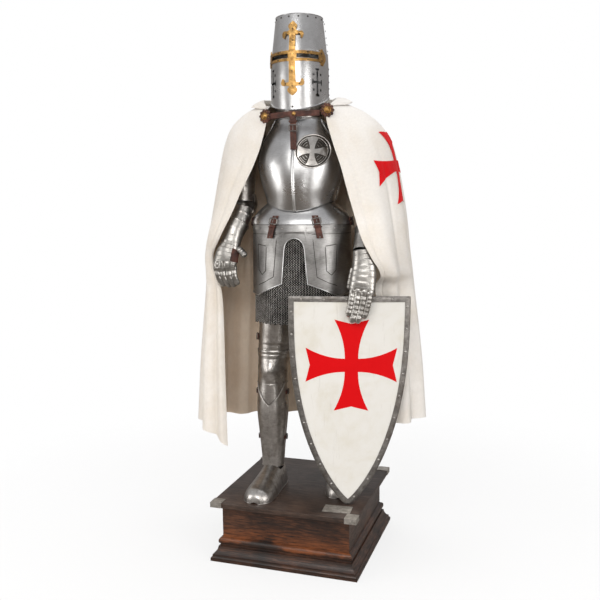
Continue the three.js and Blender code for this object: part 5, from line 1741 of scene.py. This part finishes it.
def add_clasp():
    """The breast strap with its hanging tail, loop, buckle, stud and holes, and both rosettes."""
    path = strap_point(np.linspace(0, 1, 60))
    tail_z = np.linspace(STRAP_LEVEL, TAIL_FOOT, 40)
    tail_y = -.1475 - .0012 * np.sin((STRAP_LEVEL - tail_z) * 40)
    tail = np.stack([np.full(40, TAIL_X), tail_y, tail_z], -1)
    parts = band(path, UP, outwards(path - (*STRAP_CENTRE, 0)), .021, .0030)
    parts += band(tail, (1, 0, 0), FRONT, .0235, .0028)
    turn = around(32)
    loop = np.stack([TAIL_X + .0135 * np.cos(turn), -.1490 - .0035 * np.sin(turn), np.full(32, 1.436)], -1)
    parts.append(tube(loop, .0034, closed=True, squash=1.4))
    make("clasp_strap", parts, LEATHER, ("mantle_strap",))
    buckle = [frame_ring((TAIL_X, -.1508, 1.412), .031, .022, .0019, FRONT)]
    prong = np.stack([np.full(12, TAIL_X), -.1530 - .001 * np.sin(np.linspace(0, np.pi, 12)),
                      np.linspace(1.422, 1.400, 12)], -1)
    buckle.append(tube(prong, .0012, up=(1, 0, 0)))
    make("clasp_buckle", buckle, IRON)
    make("clasp_stud", domes((.006, -.1497, 1.463), FRONT, .0078, .55, 20), BRASS)
    # Near-black discs in the punched holes: painted shade.
    holes = strap_point(np.array([.12, .20, .28]), lift=.0015)
    outs = outwards(holes - (*STRAP_CENTRE, 0))
    make("clasp_punched_holes", domes(holes, outs, .0018, .1, 10), PAINTED_SHADE_DARK)
    holes = [(TAIL_X, -.1492, z) for z in (1.386, 1.372, 1.358)]
    make("clasp_holes", domes(holes, FRONT, .0017, .1, 10), PAINTED_SHADE_DARK)
    for side, centre, turn in ROSETTES:
        add_rosette(side, np.array(centre), math.radians(turn))


def add_rosette(side, centre, turn):
    """A scalloped leather disc with a ring of brass pins, and a brass dome in its middle."""
    out = np.array([math.sin(turn), -math.cos(turn), 0])
    across = np.array([math.cos(turn), math.sin(turn), 0])
    spoke = lambda a: np.cos(a)[..., None] * across + np.sin(a)[..., None] * UP
    u, v = grid(160, 14)
    angle = u * 2 * np.pi
    radius = .0255 + .0019 * np.cos(10 * angle)
    share = np.sin(v * np.pi / 2)
    away = radius * (1 - v) ** .6
    high = .0052 * np.clip(v * 4, 0, 1) ** .6 - .0012 * np.exp(-((v - .45) / .08) ** 2) + share * .0008
    high = high + .0008 * np.cos(10 * angle) * np.exp(-((v - .3) / .2) ** 2)
    points = centre + away[..., None] * spoke(angle) + high[..., None] * out
    points[-1] = points[-1, :-1].mean(0)
    foot = centre + (radius[0] * .98)[:, None] * spoke(angle[0])
    disc = np.concatenate([np.full_like(points[:1], centre), foot[None], points])
    plate(f"rosette_leather_{side}", disc, LEATHER, (f"rosette_{side}",), wall=0, ring=True)
    seats = centre + .0182 * spoke(around(10) + np.pi / 10) + out * .0056
    make(f"rosette_pins_{side}", domes(seats, out, .0016, .5), BRASS)
    parts = domes(centre + out * .0055, out, .0112, .62, 28)
    ring = centre + .0122 * spoke(angle[0, :-1]) + out * .0062
    parts.append(tube(ring, .0011, closed=True, up=out))
    make(f"rosette_brass_{side}", parts, BRASS)


add_clasp()


# %% Straps on the plates
STRAP_LIFT = .0040                      # from the plate to the middle of a strap
HIP_STRAP, SIDE_STRAPS = (1.092, 1.008), (1.076, 1.060)
THIGH_STRAP, SHIN_STRAPS = .607, (.385, .200)


def add_hip_strap(side, sign):
    """The buckled strap on the skirt, and the two small ones that join front and back."""
    share = np.linspace(0, 1, 50)
    z = mix(*HIP_STRAP, share)
    angle = sign * mix(23.5, 29, share)
    path = hips(angle, z, STRAP_LIFT)
    wide = unit(hips(angle + 1, z, STRAP_LIFT) - path)
    down = unit(np.gradient(path, axis=0))
    out = unit(np.cross(wide, down))
    out = out * np.sign((out * path).sum(-1, keepdims=True))
    parts = band(path, wide, out, .0245, .0034)
    turn = around(32)
    keeper = path[24] + np.outer(np.cos(turn) * .0138, wide[24]) + np.outer(np.sin(turn) * .0030, out[24])
    parts.append(tube(keeper, .0030, closed=True, up=down[24]))
    make(f"hip_strap_leather_{side}", parts, LEATHER, (f"hip_strap_{side}",))
    up = -down[24]
    centre = path[12] + out[12] * .0030
    prong = np.array([centre + up * .009, centre + out[12] * .0016, centre - up * .010])
    buckle = [frame_ring(centre, .0330, .0220, .0023, out[12], up), tube(prong, .0012, up=wide[12])]
    make(f"hip_buckle_{side}", buckle, IRON)
    seats = np.array([path[k] + out[k] * .0015 for k in (3, 46)])
    make(f"hip_strap_rivets_{side}", domes(seats, out[[3, 46]], .0032, .5, 12), IRON)
    lace = np.linspace(sign * 79, sign * 113, 40)
    for level in SIDE_STRAPS:
        course = hips(lace, np.full(40, level), STRAP_LIFT)
        outs = outwards(course)
        make(f"side_strap_{round(level * 1000)}_{side}", band(course, UP, outs, .0135, .0028),
             LEATHER, (f"side_strap_{side}",) if level == SIDE_STRAPS[0] else ())
        centre = course[20] + outs[20] * .0030
        make(f"side_buckle_{round(level * 1000)}_{side}",
             [frame_ring(centre, .022, .0175, .0016, outs[20])], IRON)


def add_leg_straps(side):
    """Straps round the back of the thigh and on both sides of the shin."""
    turn = ROUND(np.linspace(62, 298, 80))
    level = np.full(80, THIGH_STRAP)
    course = leg(side, level, turn, .0042)
    outs = unit(course - leg(side, level, turn, -.02))
    make(f"thigh_strap_leather_{side}", band(course, UP, outs, .0215, .0028), LEATHER,
         (f"thigh_strap_{side}",))
    parts = [frame_ring(course[k] + outs[k] * .003, .026, .024, .0018, outs[k]) for k in (8, 71)]
    make(f"thigh_strap_buckles_{side}", parts, IRON)
    calf, buckles = [], []
    for level in SHIN_STRAPS:
        for sign in (-1, 1):
            turn = sign * ROUND(np.linspace(72, 112, 24))
            path = leg(side, np.full(24, level), turn, .0018)
            outs = unit(path - leg(side, np.full(24, level), turn, -.02))
            calf += band(path, UP, outs, .0150, .0028)
            buckles.append(frame_ring(path[12] + outs[12] * .0024, .020, .019, .0016, outs[12]))
    make(f"shin_strap_leather_{side}", calf, LEATHER)
    make(f"shin_strap_buckles_{side}", buckles, IRON)


for each, direction in (("right", -1), ("left", 1)):
    add_hip_strap(each, direction)
    add_leg_straps(each)
print("clasp, straps and buckles")

# %% [markdown]
# ## The shield
# A heater shield stands on its point and leans back a little against the hand. Its half width at
# each height is a fixed power curve, and the board is bent back towards its sides. An iron rim is
# folded over the edge and riveted, and the red cross is a thin layer of paint on the face.

# %% Shield shape
SHIELD = dict(high=.792, half=.228, wall=.008, bulge=.020, rim=.020, cover=.0018)
SHIELD_TIP = (.224, -.161)
SHIELD_TURN, SHIELD_LEAN, SHIELD_ROLL = 18, 3, .9


def shield_half(up):
    """Its half width: (1 - fall ** 2.6) ** .8, where fall goes from 1 at the tip to 0 at the top."""
    fall = np.clip(1 - up / SHIELD["high"], 0, .9999)
    return SHIELD["half"] * (1 - fall ** 2.6) ** .8


def on_shield(across, up, lift=0.0):
    """The face is bent back as the square of the distance from the middle."""
    bend = across / SHIELD["half"]
    return np.stack(np.broadcast_arrays(across, SHIELD["bulge"] * bend * bend - lift, up), -1)


def stand_shield(points):
    """Rolls, leans and turns the board about its tip, and sets the tip on the plinth."""
    turn = (Matrix.Rotation(math.radians(SHIELD_TURN), 3, "Z")
            @ Matrix.Rotation(math.radians(-SHIELD_LEAN), 3, "X")
            @ Matrix.Rotation(math.radians(SHIELD_ROLL), 3, "Y"))
    return points @ np.array(turn).T + np.array([*SHIELD_TIP, LID_TOP])


def shield_edges():
    """The board's edge from its tip up the right side, along the top and down the left, the level
    directions into the board, and the same line a rim's breadth further in. Near the tip, where
    that line would cross over itself, it stays at one point."""
    edge_up = mix(.0035, SHIELD["high"], np.linspace(0, 1, 160) ** 1.5)
    half = shield_half(edge_up)
    right = np.stack([half, edge_up], -1)
    top = np.stack([np.linspace(half[-1], -half[-1], 60)[1:-1], np.full(58, SHIELD["high"])], -1)
    outline = np.vstack([right, top, right[::-1] * (-1, 1)])
    ahead = unit(np.roll(outline, -1, 0) - np.roll(outline, 1, 0))
    inward = np.stack([-ahead[:, 1], ahead[:, 0]], -1)
    inward[0] = inward[-1] = (0, 1)
    square = shield_half(SHIELD["high"]) - SHIELD["rim"]
    inner = outline + inward * SHIELD["rim"]
    inner = np.stack([np.clip(inner[:, 0], -square, square),
                      np.minimum(inner[:, 1], SHIELD["high"] - SHIELD["rim"])], -1)
    crossed = inner[:, 0] * outline[:, 0] <= 0
    inner[crossed] = (0, inner[~crossed, 1].min())
    return outline, inward, inner


def add_shield_rim():
    """The iron folded over the edge: its section is carried round, and a rivet set every 85 mm."""
    outline, inward, inner = shield_edges()
    cover, wall = SHIELD["cover"], SHIELD["wall"]
    middle, outer = mix(inner, outline, .5), outline - inward * cover
    profile = ((inner, .0002), (inner, cover), (middle, cover * 1.25), (outline, cover),
               (outer, cover * .3), (outer, -wall * .5), (outer, -wall - cover * .3),
               (outline, -wall - cover), (inner, -wall - cover), (inner, -wall - .0002))
    ring = np.stack([on_shield(line[:, 0], line[:, 1], lift) for line, lift in profile])
    closed = faces_of(len(profile) - 1, len(outline), ring=True)
    make("shield_iron_rim", [(ring, closed)], IRON, ("shield_rim",), sharp=50, place=stand_shield)
    gap = running(middle)
    stops = np.arange(.030, gap[-1] - .02, .085)
    x, up = (np.interp(stops, gap, middle[:, k]) for k in (0, 1))
    tilt = np.outer(-2 * SHIELD["bulge"] * x / SHIELD["half"] ** 2, (1, 0, 0)) + FRONT
    make("shield_rim_rivets", domes(on_shield(x, up, cover * 1.2), tilt, .0046, .6, 12), AGED,
         place=stand_shield)


def add_shield():
    u, v = grid(48, 140)
    up = mix(.003, SHIELD["high"], v ** .9)
    across = (2 * u - 1) * shield_half(up)
    plate("shield_board_painted", on_shield(across, up), PAINT, ("shield_board",), wall=SHIELD["wall"],
          uv=np.stack([across, up], -1), place=stand_shield)
    add_shield_rim()
    cross = pattee(.172, .025, .065, .016, 12) + (.009, .535)
    flat, faces = cut_out(dense(cross, .008), .010)
    faces = faces[:, ::-1] if facing(flat, faces) < 0 else faces
    make("shield_cross_paint", [(on_shield(flat[:, 0], flat[:, 1], .00045), faces)], RED_PAINT,
         wall=.0004, uv=flat[faces].reshape(-1, 2), place=stand_shield)


def facing(flat, faces):
    """Positive where the triangles of a flat drawing run anticlockwise."""
    a, b, c = flat[faces[:, 0]], flat[faces[:, 1]], flat[faces[:, 2]]
    return np.sum((b - a)[:, 0] * (c - a)[:, 1] - (b - a)[:, 1] * (c - a)[:, 0])


add_shield()
print("shield: half width at the top", round(float(shield_half(np.array([.79]))[0]), 4))
